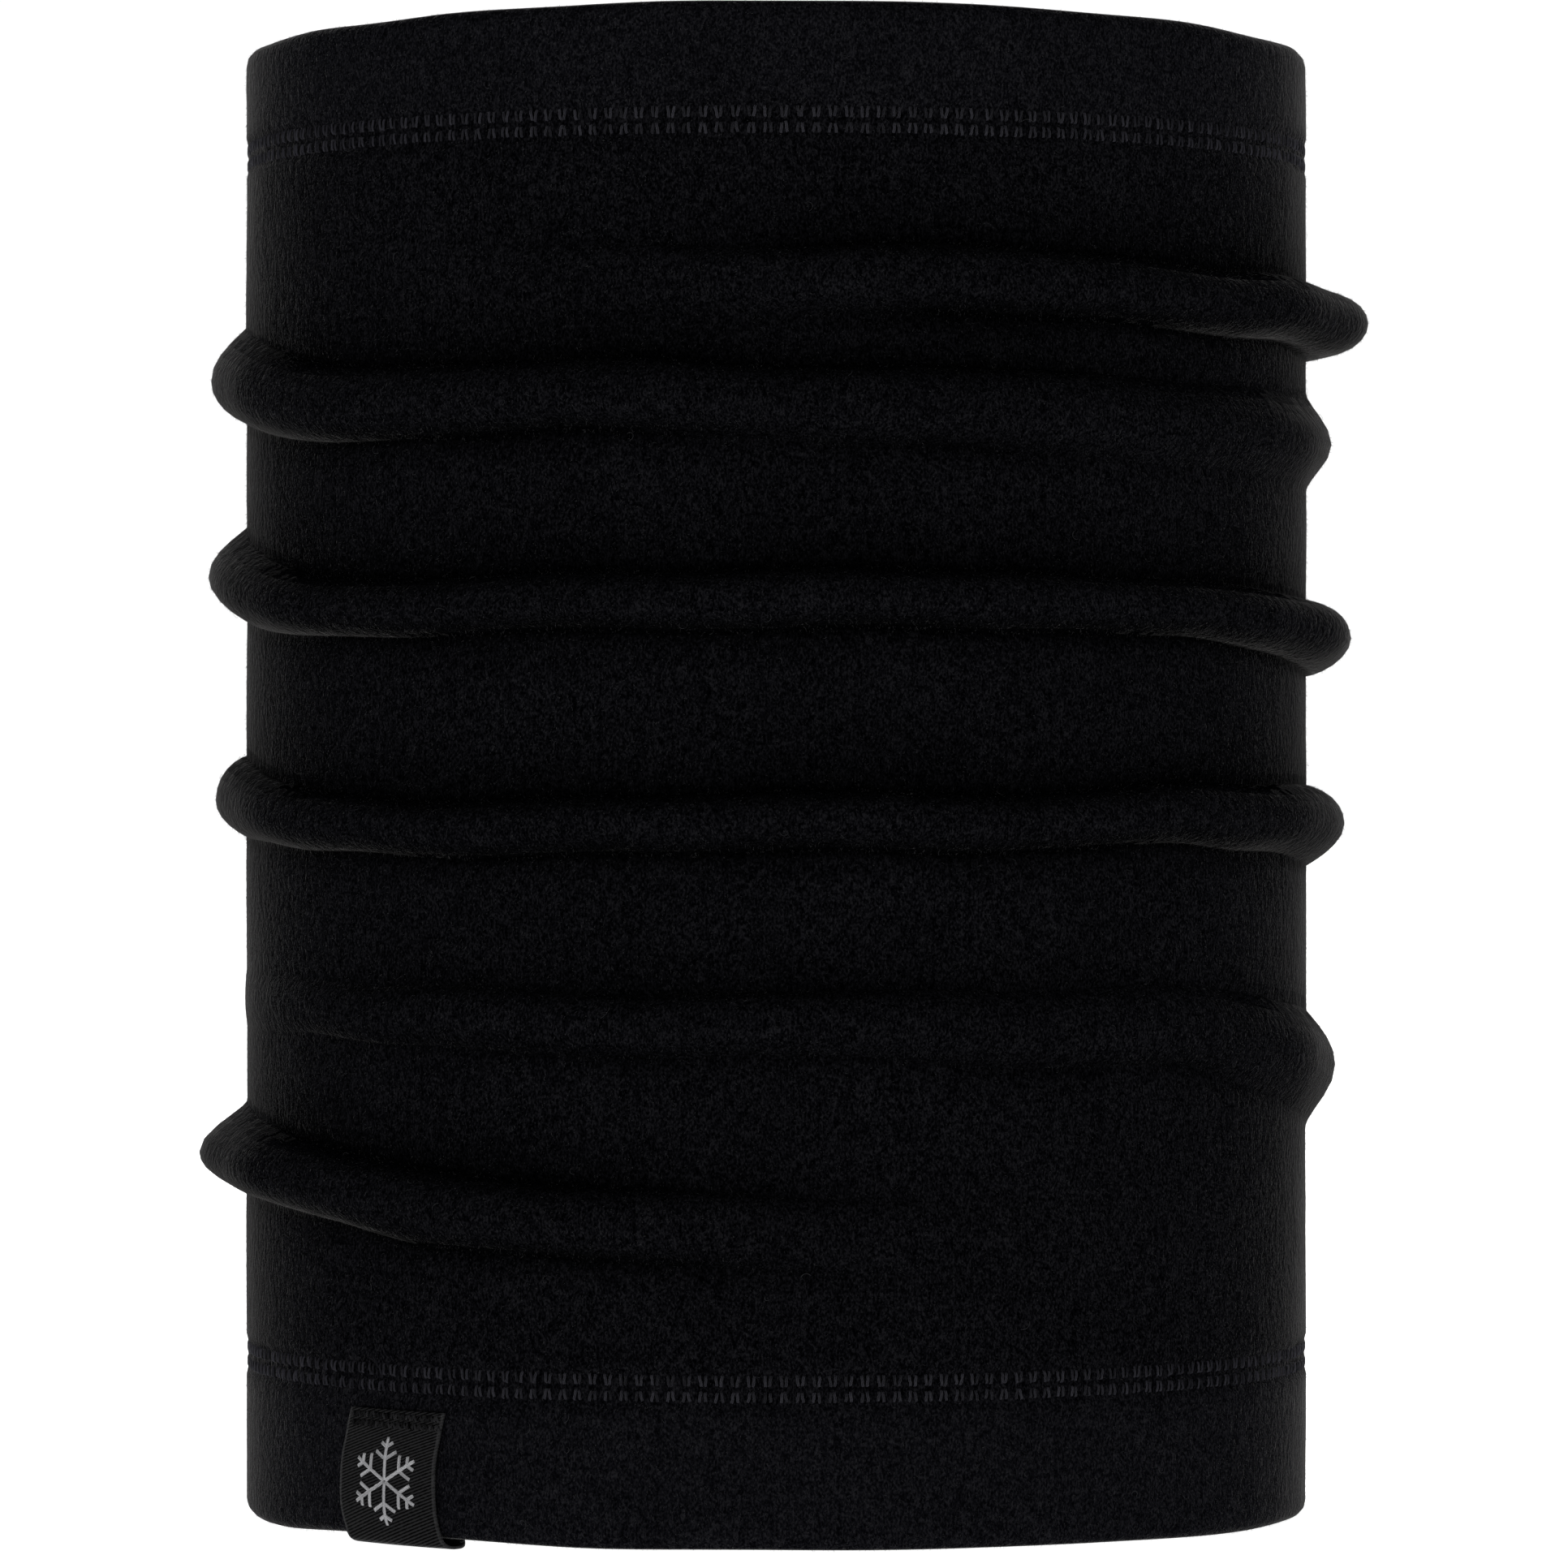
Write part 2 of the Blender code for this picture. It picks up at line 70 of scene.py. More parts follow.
# The rucks, top to bottom, as stops round the tube, in degrees and millimetres: (angle, height of the
# crest, how far it stands out, reach above, reach below, softness above, softness below). Softness is
# about 1 for a bead with a crisp crease, 2 for a parabola and 3 for a ruck that melts into the wall.
RUCKS = (
    ((-90, 196.5, 0.0, 4.0, 4.0, 3.0, 3.0), (-50, 192.0, 0.0, 5.0, 5.0, 2.4, 2.4),
     (-23, 188.4, 0.9, 5.5, 5.5, 1.6, 1.8), (0, 188.0, 2.6, 5.2, 5.2, 1.2, 2.3),
     (22, 188.5, 4.2, 5.3, 5.3, 1.1, 1.2), (49, 186.9, 5.4, 4.9, 5.0, 1.1, 1.2),
     (90, 185.9, 9.3, 5.4, 5.3, 0.9, 0.85), (125, 187.3, 5.6, 5.6, 5.2, 1.3, 1.3),
     (160, 188.6, 1.6, 5.4, 5.4, 1.8, 1.8), (-150, 193.0, 0.3, 5.0, 5.0, 2.6, 2.6)),
    ((-90, 177.4, 5.4, 8.6, 6.2, 2.35, 1.35), (-55, 171.5, 4.6, 6.0, 6.0, 1.2, 1.3),
     (-23, 171.3, 4.4, 5.6, 5.6, 1.1, 1.3), (0, 170.6, 3.9, 5.6, 5.8, 1.1, 2.0),
     (22, 169.2, 3.2, 6.2, 6.2, 1.3, 1.7), (49, 168.0, 2.9, 6.6, 6.4, 2.0, 2.6),
     (90, 167.0, 4.0, 7.8, 7.8, 3.9, 4.2), (135, 168.9, 3.4, 6.2, 6.2, 1.6, 1.6),
     (180, 172.0, 2.4, 6.0, 6.0, 1.6, 1.6), (-130, 175.2, 4.2, 6.6, 6.2, 1.5, 1.4)),
    ((-90, 146.4, 6.4, 7.6, 6.5, 2.35, 1.95), (-55, 140.6, 4.6, 4.6, 4.6, 1.1, 1.2),
     (-23, 141.0, 4.4, 4.5, 4.5, 1.1, 1.2), (0, 141.3, 4.3, 4.7, 4.7, 1.1, 1.2),
     (22, 141.1, 4.3, 4.6, 4.6, 1.1, 1.2), (49, 140.0, 4.4, 4.4, 4.4, 1.1, 1.3),
     (90, 137.3, 7.9, 4.8, 6.0, 1.0, 1.4), (130, 139.2, 4.8, 4.9, 4.9, 1.2, 1.3),
     (180, 142.6, 2.8, 4.8, 4.8, 1.3, 1.4), (-130, 144.8, 4.6, 5.4, 5.2, 1.3, 1.4)),
    ((-90, 111.9, 4.6, 6.9, 5.2, 1.3, 1.5), (-55, 108.1, 3.9, 4.5, 4.5, 1.1, 1.3),
     (-23, 107.8, 3.8, 4.4, 4.4, 1.1, 1.3), (0, 108.5, 3.8, 4.4, 4.8, 1.1, 1.3),
     (22, 108.3, 3.9, 4.5, 4.5, 1.1, 1.3), (49, 109.5, 4.2, 4.7, 4.7, 1.1, 1.3),
     (90, 107.9, 5.6, 5.8, 6.6, 1.1, 2.05), (130, 108.6, 4.4, 4.8, 4.8, 1.2, 1.3),
     (180, 110.6, 2.6, 4.8, 4.8, 1.3, 1.5), (-130, 111.3, 3.6, 5.2, 5.0, 1.2, 1.4)),
    ((-90, 80.6, 0.2, 4.6, 4.4, 2.4, 2.4), (-55, 80.2, 1.5, 4.2, 4.2, 1.7, 1.4),
     (-23, 78.5, 2.2, 4.9, 4.8, 1.2, 1.3), (0, 78.7, 2.4, 4.8, 4.8, 1.2, 1.8),
     (22, 78.0, 2.1, 5.6, 5.6, 1.5, 1.5), (49, 77.2, 2.4, 6.4, 6.2, 2.0, 1.8),
     (90, 70.2, 4.6, 8.2, 10.0, 2.2, 3.4), (130, 74.0, 2.9, 6.6, 6.8, 1.8, 2.2),
     (180, 79.0, 1.2, 5.4, 5.4, 1.8, 1.8), (-130, 80.6, 0.5, 4.8, 4.6, 2.2, 2.2)),
    ((-90, 56.8, 7.4, 8.0, 4.8, 3.2, 0.95), (-62, 54.6, 5.6, 5.7, 5.4, 1.2, 1.1),
     (-44, 52.1, 4.8, 5.8, 5.8, 1.1, 1.1), (-31, 50.3, 4.2, 5.5, 5.6, 1.1, 1.2),
     (-14, 49.0, 2.8, 5.5, 5.6, 1.1, 1.3), (2, 47.8, 1.5, 5.5, 5.5, 1.2, 1.5),
     (24, 46.4, 0.4, 5.5, 5.5, 2.0, 2.2), (90, 46.6, 0.0, 5.5, 5.5, 2.6, 2.6),
     (170, 50.6, 0.3, 5.5, 5.5, 2.4, 2.4), (-135, 55.2, 4.4, 5.8, 5.4, 1.3, 1.2)),
)
RUCK_STEPS = 13
RUCK_WAVER = 0.22  # millimetres by which a crest wanders up and down
TUCK = 0.45 * MM  # how far the crease beside a ruck is drawn into the wall
TUCK_WIDTH = 1.3 * MM

# Past these turns from its crest, a ruck's flank is crease and gets a fleece copy with less sheen, a
# painted shade.
# The crease fades towards the tube's two sides: from and to these sines of the angle round the tube, by
# this share.
UPPER_TURN = math.radians(42.0)
LOWER_TURN = math.radians(-55.0)
UPPER_ENDS = (0.85, 0.98, 0.55)
LOWER_ENDS = (0.55, 0.90, 1.0)

# The fleece
SHEEN = 0.28
CREASE_SHEENS = (0.19, 0.09, 0.0)  # shaded copies of the fleece, from the open cloth into a crease: less sheen paints shade there
SHEEN_ROUGHNESS = 0.18
# Painted shade beside a ruck, as the share of the colour kept, by millimetres above its upper and above
# its lower crease
UPPER_CREASE_SHADE = (
    (-2.6, -1.2, 0.0, 1.2, 2.4, 4.8, 9.5, 14.0),
    (1.0, 0.65, 0.28, 0.42, 0.55, 0.75, 0.92, 1.0),
)
LOWER_CREASE_SHADE = (
    (-3.6, -1.7, -0.8, 0.0, 1.0, 2.0, 3.2),
    (1.0, 0.78, 0.5, 0.15, 0.4, 0.72, 1.0),
)
HEM_PAINTED_LIGHT = 0.45  # painted light: added to the shading value on the hems
HEM_REACH = 6 * MM  # over which it eases in
HEM_LIGHT_CAP = 1.16  # the highest shading value that scales the pile's colour, so the hems' painted light scales it only so far
PAINTED_HEM_LIGHT = (0.0029, 0.0029, 0.0037)  # painted light added to the colour for each whole step of shading above 1

# The ribbon label, folded round the bottom hem. Its middle line leans, so its angle has three stops.
LABEL_ANGLE = -43.0
LABEL_LINE = (-42.6, -44.2, -42.9)  # its angles at the foot, half-way and at the top
LABEL_WIDTH = 0.0190
SELVEDGE = 0.00045
LABEL_THICK = 0.00045
LABEL_TOP = 0.0204
LABEL_INNER_TOP = 0.0180
LABEL_FOLD = 0.0024  # height at which it turns in under the hem
LABEL_GAP = 0.0003
LABEL_PUFF = 0.00045  # how far its middle stands off the hem
LABEL_LIFT = 0.0008  # how far it holds the hem up off the floor
LABEL_LIFT_REACH = 26.0  # degrees to either side
TWILL_PITCH = 0.00046
TWILL_SLOPE = math.radians(-20.0)
SATIN_PITCH = 0.00025
TACK_PITCH = 0.00105
MOTIF_RADIUS = 0.0066
MOTIF_HEIGHT = 0.0097
MOTIF_BRANCHES = ((0.50, 0.36), (0.78, 0.20))  # (place along an arm, length), as shares of the radius
MOTIF_STRANDS = (-0.17, 0.0, 0.17)  # millimetres beside a bar's middle

# The care label
CARE_WIDTH = 0.0140
CARE_LOW, CARE_HIGH = 0.0350, 0.0590
CARE_THICK = 0.0004
CARE_HINGE_X = 0.0058
CARE_HINGE_Y = TUBE_Y + HALF_DEPTH - CLOTH - 0.0014

# Stray fibres on the cloth
NAP_PIECES = 3
NAP_COUNT = 48000
NAP_SIZE = (0.55 * MM, 0.032 * MM)  # a fibre's length and radius
PALE_COUNT = 5000
PALE_SIZE = (0.6 * MM, 0.02 * MM)
LINT_COUNT = 160

# The camera stands level, straight before the front
CAMERA_DISTANCE = 1.18
CAMERA_HEIGHT = 0.1140
FRAME_SIZE = 0.2461  # what the frame spans at the tube's middle
SENSOR = 36.0

# The surroundings' brightness by the height of the direction, from straight down (-1) to overhead (1),
# and the white panel's behind the tube, as shares of their strength
SURROUNDINGS = (
    (-1.0, 0.10), (-0.6, 0.22), (-0.15, 0.38), (0.0, 0.28), (0.12, 0.06),
    (0.3, 0.012), (0.74, 0.012), (0.86, 0.16), (1.0, 0.20),
)
PANEL_SHARE = 1.3
SURROUNDINGS_STRENGTH = 3.6
BACKDROP_STRENGTH = 1.05  # the white that the camera sees
FLOOR_RADIUS = 14.0

UPWARD = np.array([0.0, 0.0, 1.0])


# ---------------------------------------------------------------- node helpers


def new_material(name, **constants):
    """A Principled material and its node tree, with these constant inputs set."""
    made = bpy.data.materials.new(name)
    made.use_nodes = True
    shader = made.node_tree.nodes["Principled BSDF"]
    for key, value in constants.items():
        shader.inputs[key.replace("_", " ")].default_value = value
    return made, made.node_tree, shader


def add_node(tree, kind, **settings):
    node = tree.nodes.new(kind)
    for key, value in settings.items():
        setattr(node, key, value)
    return node


def link(tree, source, target):
    tree.links.new(source, target)


def noise_value(tree, vector, scale, detail=2.0, roughness=0.5, distortion=0.0):
    """The value of a noise texture of this scale, in features a metre."""
    node = add_node(tree, "ShaderNodeTexNoise")
    node.inputs["Scale"].default_value = scale
    node.inputs["Detail"].default_value = detail
    node.inputs["Roughness"].default_value = roughness
    node.inputs["Distortion"].default_value = distortion
    link(tree, vector, node.inputs["Vector"])
    return node.outputs["Fac"]


def ramp(tree, value, *stops):
    """A colour ramp with these (place, colour) stops."""
    node = add_node(tree, "ShaderNodeValToRGB")
    elements = node.color_ramp.elements
    while len(elements) < len(stops):
        elements.new(0.5)
    for element, (place, colour) in zip(elements, stops):
        element.position = place
        element.color = (*colour, 1.0)
    link(tree, value, node.inputs["Fac"])
    return node.outputs["Color"]


def maths(tree, operation, *values):
    node = add_node(tree, "ShaderNodeMath", operation=operation)
    for socket, value in zip(node.inputs, values):
        if isinstance(value, (int, float)):
            socket.default_value = value
        else:
            link(tree, value, socket)
    return node.outputs["Value"]


def weighed(tree, first, first_share, second, second_share):
    """The sum of two values, each times its share."""
    first = maths(tree, "MULTIPLY", first, first_share)
    return maths(tree, "ADD", first, maths(tree, "MULTIPLY", second, second_share))


def mix_colour(tree, blend, factor, first, second):
    node = add_node(tree, "ShaderNodeMix", data_type="RGBA", blend_type=blend)
    for socket, value in ((node.inputs[0], factor), (node.inputs[6], first), (node.inputs[7], second)):
        if isinstance(value, (int, float, tuple)):
            socket.default_value = value
        else:
            link(tree, value, socket)
    return node.outputs[2]


def mapped(tree, scale, rotation=(0.0, 0.0, 0.0), uv=None):
    """Object coordinates, or the named UV map's, scaled and turned."""
    if uv:
        source = add_node(tree, "ShaderNodeUVMap", uv_map=uv).outputs["UV"]
    else:
        source = add_node(tree, "ShaderNodeTexCoord").outputs["Object"]
    node = add_node(tree, "ShaderNodeMapping")
    node.inputs["Scale"].default_value = scale
    node.inputs["Rotation"].default_value = rotation
    link(tree, source, node.inputs["Vector"])
    return node.outputs["Vector"]


def bump(tree, height, distance, strength=1.0, normal=None):
    node = add_node(tree, "ShaderNodeBump")
    node.inputs["Distance"].default_value = distance
    node.inputs["Strength"].default_value = strength
    link(tree, height, node.inputs["Height"])
    if normal:
        link(tree, normal, node.inputs["Normal"])
    return node.outputs["Normal"]


# ---------------------------------------------------------------- materials


def fleece_material(name, sheen):
    """Black brushed fleece: a short dense nap in clumps, with painted shade in the creases and painted
    light on the hems, both from a value on the mesh.
    """
    made, tree, shader = new_material(
        name, Roughness=0.95, Specular_IOR_Level=0.0,
        Sheen_Weight=sheen, Sheen_Roughness=SHEEN_ROUGHNESS, Sheen_Tint=(1.0, 0.98, 0.96, 1.0),
    )
    fibres = noise_value(tree, mapped(tree, (1.0, 1.0, 0.62)), 3300.0, 2.0, 0.6, 0.3)
    clumps = noise_value(tree, mapped(tree, (1.0, 1.0, 0.7)), 900.0, 2.0, 0.55)
    patches = noise_value(tree, mapped(tree, (1.0, 1.0, 1.0)), 60.0, 2.0)
    pile = weighed(tree, fibres, 0.75, clumps, 0.25)
    colour = ramp(
        tree, pile,
        (0.38, (0.0003, 0.0003, 0.0007)),
        (0.50, (0.0042, 0.0042, 0.0053)),
        (0.66, (0.0165, 0.0163, 0.0190)),
    )
    # Painted shading from the mesh: painted shade darkens the creases, painted light brightens the hems.
    painted_shading = add_node(tree, "ShaderNodeAttribute", attribute_name="painted_shading").outputs["Fac"]
    drift = maths(tree, "ADD", 0.78, maths(tree, "MULTIPLY", patches, 0.44))
    depth = add_node(tree, "ShaderNodeVectorMath", operation="SCALE")
    link(tree, colour, depth.inputs["Vector"])
    shading_factor = maths(tree, "MINIMUM", painted_shading, HEM_LIGHT_CAP)
    link(tree, maths(tree, "MULTIPLY", shading_factor, drift), depth.inputs["Scale"])
    # Painted light added to the colour on the hems.
    hem_light = add_node(tree, "ShaderNodeVectorMath", operation="SCALE")
    hem_light.inputs["Vector"].default_value = PAINTED_HEM_LIGHT
    above = maths(tree, "MAXIMUM", maths(tree, "SUBTRACT", painted_shading, 1.0), 0.0)
    link(tree, above, hem_light.inputs["Scale"])
    total = add_node(tree, "ShaderNodeVectorMath", operation="ADD")
    link(tree, depth.outputs["Vector"], total.inputs[0])
    link(tree, hem_light.outputs["Vector"], total.inputs[1])
    link(tree, total.outputs["Vector"], shader.inputs["Base Color"])
    tufts = bump(tree, clumps, 0.0009, 0.28)
    link(tree, bump(tree, pile, 0.00030, 0.7, tufts), shader.inputs["Normal"])
    return made


def thread_material(name, dark, light, sheen):
    """Sewing thread: each strand has its own shade, held by the mesh, and fine twisted filaments."""
    made, tree, shader = new_material(
        name, Roughness=0.6, Specular_IOR_Level=sheen, Sheen_Weight=sheen, Sheen_Roughness=0.4,
    )
    shade = add_node(tree, "ShaderNodeAttribute", attribute_name="shade").outputs["Fac"]
    strands = noise_value(tree, mapped(tree, (1.0, 1.0, 1.0)), 6000.0, 2.0)
    value = weighed(tree, shade, 0.7, strands, 0.3)
    link(tree, ramp(tree, value, (0.15, dark), (0.85, light)), shader.inputs["Base Color"])
    link(tree, bump(tree, strands, 0.00008, 0.6), shader.inputs["Normal"])
    return made


def ribbon_material(name, dark, light, pitch, slope, shine, width):
    """Woven ribbon: fine diagonal ribs over its UV map, which is in metres, between two selvedges."""
    made, tree, shader = new_material(name, Specular_IOR_Level=0.02 + shine)
    weave = add_node(
        tree, "ShaderNodeTexWave", wave_type="BANDS", bands_direction="Y", wave_profile="SIN"
    )
    weave.inputs["Scale"].default_value = math.pi / 10 / pitch
    weave.inputs["Distortion"].default_value = 0.6
    weave.inputs["Detail"].default_value = 1.0
    weave.inputs["Detail Scale"].default_value = 3.0
    link(tree, mapped(tree, (1.0, 1.0, 1.0), (0.0, 0.0, slope), "weave"), weave.inputs["Vector"])
    ribs = weave.outputs["Fac"]
    mottle = noise_value(tree, mapped(tree, (1.0, 1.0, 1.0)), 1900.0, 2.0, 0.6)
    value = weighed(tree, ribs, 0.5, mottle, 0.5)
    cloth_colour = ramp(tree, value, (0.28, dark), (0.72, light))
    place = add_node(tree, "ShaderNodeSeparateXYZ")
    link(tree, add_node(tree, "ShaderNodeUVMap", uv_map="weave").outputs["UV"], place.inputs["Vector"])
    beside = maths(tree, "ABSOLUTE", place.outputs["X"])
    edge = maths(tree, "MULTIPLY", maths(tree, "GREATER_THAN", beside, width / 2 - SELVEDGE), mottle)
    pale = tuple(2.0 * part for part in light) + (1.0,)
    link(tree, mix_colour(tree, "MIX", edge, cloth_colour, pale), shader.inputs["Base Color"])
    rough = maths(tree, "SUBTRACT", 0.75 - shine, maths(tree, "MULTIPLY", mottle, 0.2))
    link(tree, rough, shader.inputs["Roughness"])
    link(tree, bump(tree, ribs, 0.00006, 0.8), shader.inputs["Normal"])
    return made


def floor_material():
    return new_material(
        "studio_floor", Roughness=0.9, Specular_IOR_Level=0.0, Base_Color=(0.8, 0.8, 0.8, 1.0),
        Emission_Color=(1.0, 1.0, 1.0, 1.0), Emission_Strength=1.0,
    )[0]


# ---------------------------------------------------------------- mesh helpers


def new_piece(name, points, faces, material, smooth=True):
    data = bpy.data.meshes.new(name)
    data.from_pydata(points.reshape(-1, 3).tolist(), [], faces)
    data.materials.append(material)
    if smooth:
        data.shade_smooth()
    piece = bpy.data.objects.new(name, data)
    bpy.context.scene.collection.objects.link(piece)
    return piece


def grid_faces(rows, columns, wrap_rows=False, wrap_columns=False):
    """Quads over a grid of points stored row by row."""
    row = np.arange(rows if wrap_rows else rows - 1)[:, None]
    column = np.arange(columns if wrap_columns else columns - 1)[None, :]
    below, above = row * columns, (row + 1) % rows * columns
    right = (column + 1) % columns
    return np.stack([below + column, below + right, above + right, above + column], -1).reshape(-1, 4)


def thick_sheet(name, front, normals, thickness, material):
    """A closed piece from a grid of points on its front, thickened backwards."""
    rows, columns = front.shape[:2]
    count = rows * columns
    index = np.arange(count).reshape(rows, columns)
    faces = grid_faces(rows, columns)
    rim = np.concatenate([index[0, :-1], index[:-1, -1], index[-1, :0:-1], index[:0:-1, 0]])
    after = np.roll(rim, -1)
    sides = np.stack([after, rim, rim + count, after + count], -1)
    back = front - normals * thickness
    points = np.concatenate([front.reshape(-1, 3), back.reshape(-1, 3)])
    faces = np.concatenate([faces, faces[:, ::-1] + count, sides])
    return new_piece(name, points, faces.tolist(), material)


def grid_normals(points):
    """Unit normals of a grid of points, on the side its faces show."""
    rise, run = np.gradient(points, axis=0), np.gradient(points, axis=1)
    return unit(np.cross(run, rise))


def unit(vectors):
    return vectors / np.linalg.norm(vectors, axis=-1, keepdims=True)


def tubes(paths, up, radius, sides):
    """(points, faces) of a closed tube along each path. paths is tubes x points x 3."""
    count, length = paths.shape[:2]
    along = unit(np.gradient(paths, axis=1))
    across = unit(np.cross(along, up))
    top = np.cross(across, along)
    turn = 2 * np.pi * np.arange(sides) / sides
    beside = np.cross(along, top)
    ring = top[:, :, None] * np.cos(turn)[:, None] + beside[:, :, None] * np.sin(turn)[:, None]
    points = paths[:, :, None] + ring * np.asarray(radius)[..., None, None]
    one = grid_faces(length, sides, wrap_columns=True)
    caps = np.array([list(reversed(range(sides))), [(length - 1) * sides + k for k in range(sides)]])
    faces = []
    for i in range(count):
        base = i * length * sides
        faces += (one + base).tolist()
        faces += (caps + base).tolist()
    return points.reshape(-1, 3), faces


def hand_over(piece, slot, body, *nodes):
    """Hides the CAD nodes that a piece replaces and hangs the piece on its body; with no body, bakes its
    transform into its mesh. slot is not used.
    """
    if nodes:
        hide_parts(*nodes)
    if body:
        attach(piece, body)
    else:
        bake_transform(piece)


def set_shade(piece, values):
    """Gives every vertex its thread's shade, from 0 to 1."""
    attribute = piece.data.attributes.new("shade", "FLOAT", "POINT")
    attribute.data.foreach_set("value", np.clip(values, 0, 1).astype(np.float32))


def set_painted_shading(piece, values):
    """Gives every vertex of the cloth its painted shading: 1 on the open wall, more on the hems for
    painted light, less in creases for painted shade.
    """
    attribute = piece.data.attributes.new("painted_shading", "FLOAT", "POINT")
    attribute.data.foreach_set("value", values.ravel().astype(np.float32))


def set_uv(piece, name, coordinates):
    """A UV map from one pair of coordinates for each vertex."""
    layer = piece.data.uv_layers.new(name=name)
    corners = np.zeros(len(piece.data.loops), np.int32)
    piece.data.loops.foreach_get("vertex_index", corners)
    layer.data.foreach_set("uv", coordinates.reshape(-1, 2)[corners].ravel())


# ---------------------------------------------------------------- the tube's shape


def on_tube(angle, height, outward):
    """Points at these angles and heights, this far outside the plain tube."""
    turn = np.radians(angle)
    x = TUBE_X + (HALF_WIDTH + outward) * np.sin(turn)
    y = TUBE_Y - (HALF_DEPTH + outward) * np.cos(turn)
    return np.stack(np.broadcast_arrays(x, y, height), -1)


def outward_at(angle):
    """The tube's outward direction at these angles."""
    turn = np.radians(angle)
    flat = np.stack([np.sin(turn) / HALF_WIDTH, -np.cos(turn) / HALF_DEPTH, np.zeros_like(turn)], -1)
    return unit(flat)


def around_at(angle):
    """The direction round the tube, towards larger angles."""
    return np.cross(UPWARD, outward_at(angle))


def ripple(angles, seed, slowest, fastest):
    """A smooth random curve round the tube, mostly within -1 and 1."""
    dice = np.random.default_rng(seed)
    waves = np.arange(slowest, fastest + 1)
    phases = dice.uniform(0, 2 * np.pi, len(waves))
    sizes = dice.uniform(0.5, 1.0, len(waves)) / np.sqrt(len(waves) / 2)
    turn = np.radians(angles)[:, None]
    return (sizes * np.sin(waves * turn + phases)).sum(1)


def ruck_measures(stops, angles):
    """Each measure of a ruck at these angles, on a smooth curve through its stops."""
    table = np.array(sorted(stops), float)
    size = len(table)
    lap = np.zeros(table.shape[1])
    lap[0] = 360.0
    table = np.vstack([table[-2:] - lap, table, table[:2] + lap])
    slope = (table[2:] - table[:-2])[:, 1:] / (table[2:, :1] - table[:-2, :1])
    index = np.clip(np.searchsorted(table[:, 0], angles, side="right") - 1, 1, size + 1)
    here, there = table[index], table[index + 1]
    span = there[:, :1] - here[:, :1]
    t = (angles[:, None] - here[:, :1]) / span
    start, end = slope[index - 1] * span, slope[index] * span
    blend = 3 * t**2 - 2 * t**3
    curve = here[:, 1:] + (there - here)[:, 1:] * blend
    return curve + (t**3 - 2 * t**2 + t) * start + (t**3 - t**2) * end


def near_label(angles):
    away = np.abs((angles - LABEL_ANGLE + 180.0) % 360.0 - 180.0) / LABEL_LIFT_REACH
    return np.where(away < 1, np.cos(np.pi * np.minimum(away, 1) / 2) ** 2, 0.0)


def facing(angles):
    """1 over the front and back of the tube, easing to 0 at its two sides."""
    side = np.abs(np.sin(np.radians(angles)))
    t = np.clip((0.985 - side) / 0.12, 0, 1)
    return t * t * (3 - 2 * t)


def ease_in(value):
    t = np.clip(value, 0, 1)
    return t * t * (3 - 2 * t)


def crispness(softness):
    """How dark a crease's painted shade is: full beside a crisp bead, little where a ruck melts into the
    wall.
    """
    return np.clip((2.7 - softness) / 1.3, 0.15, 1.0)


def pinched(heights, stitch):
    """1 under the hem's stitching, easing to 0 beside it."""
    return ease_in((PINCH_HALF + PINCH_EASE - np.abs(heights - stitch)) / PINCH_EASE)


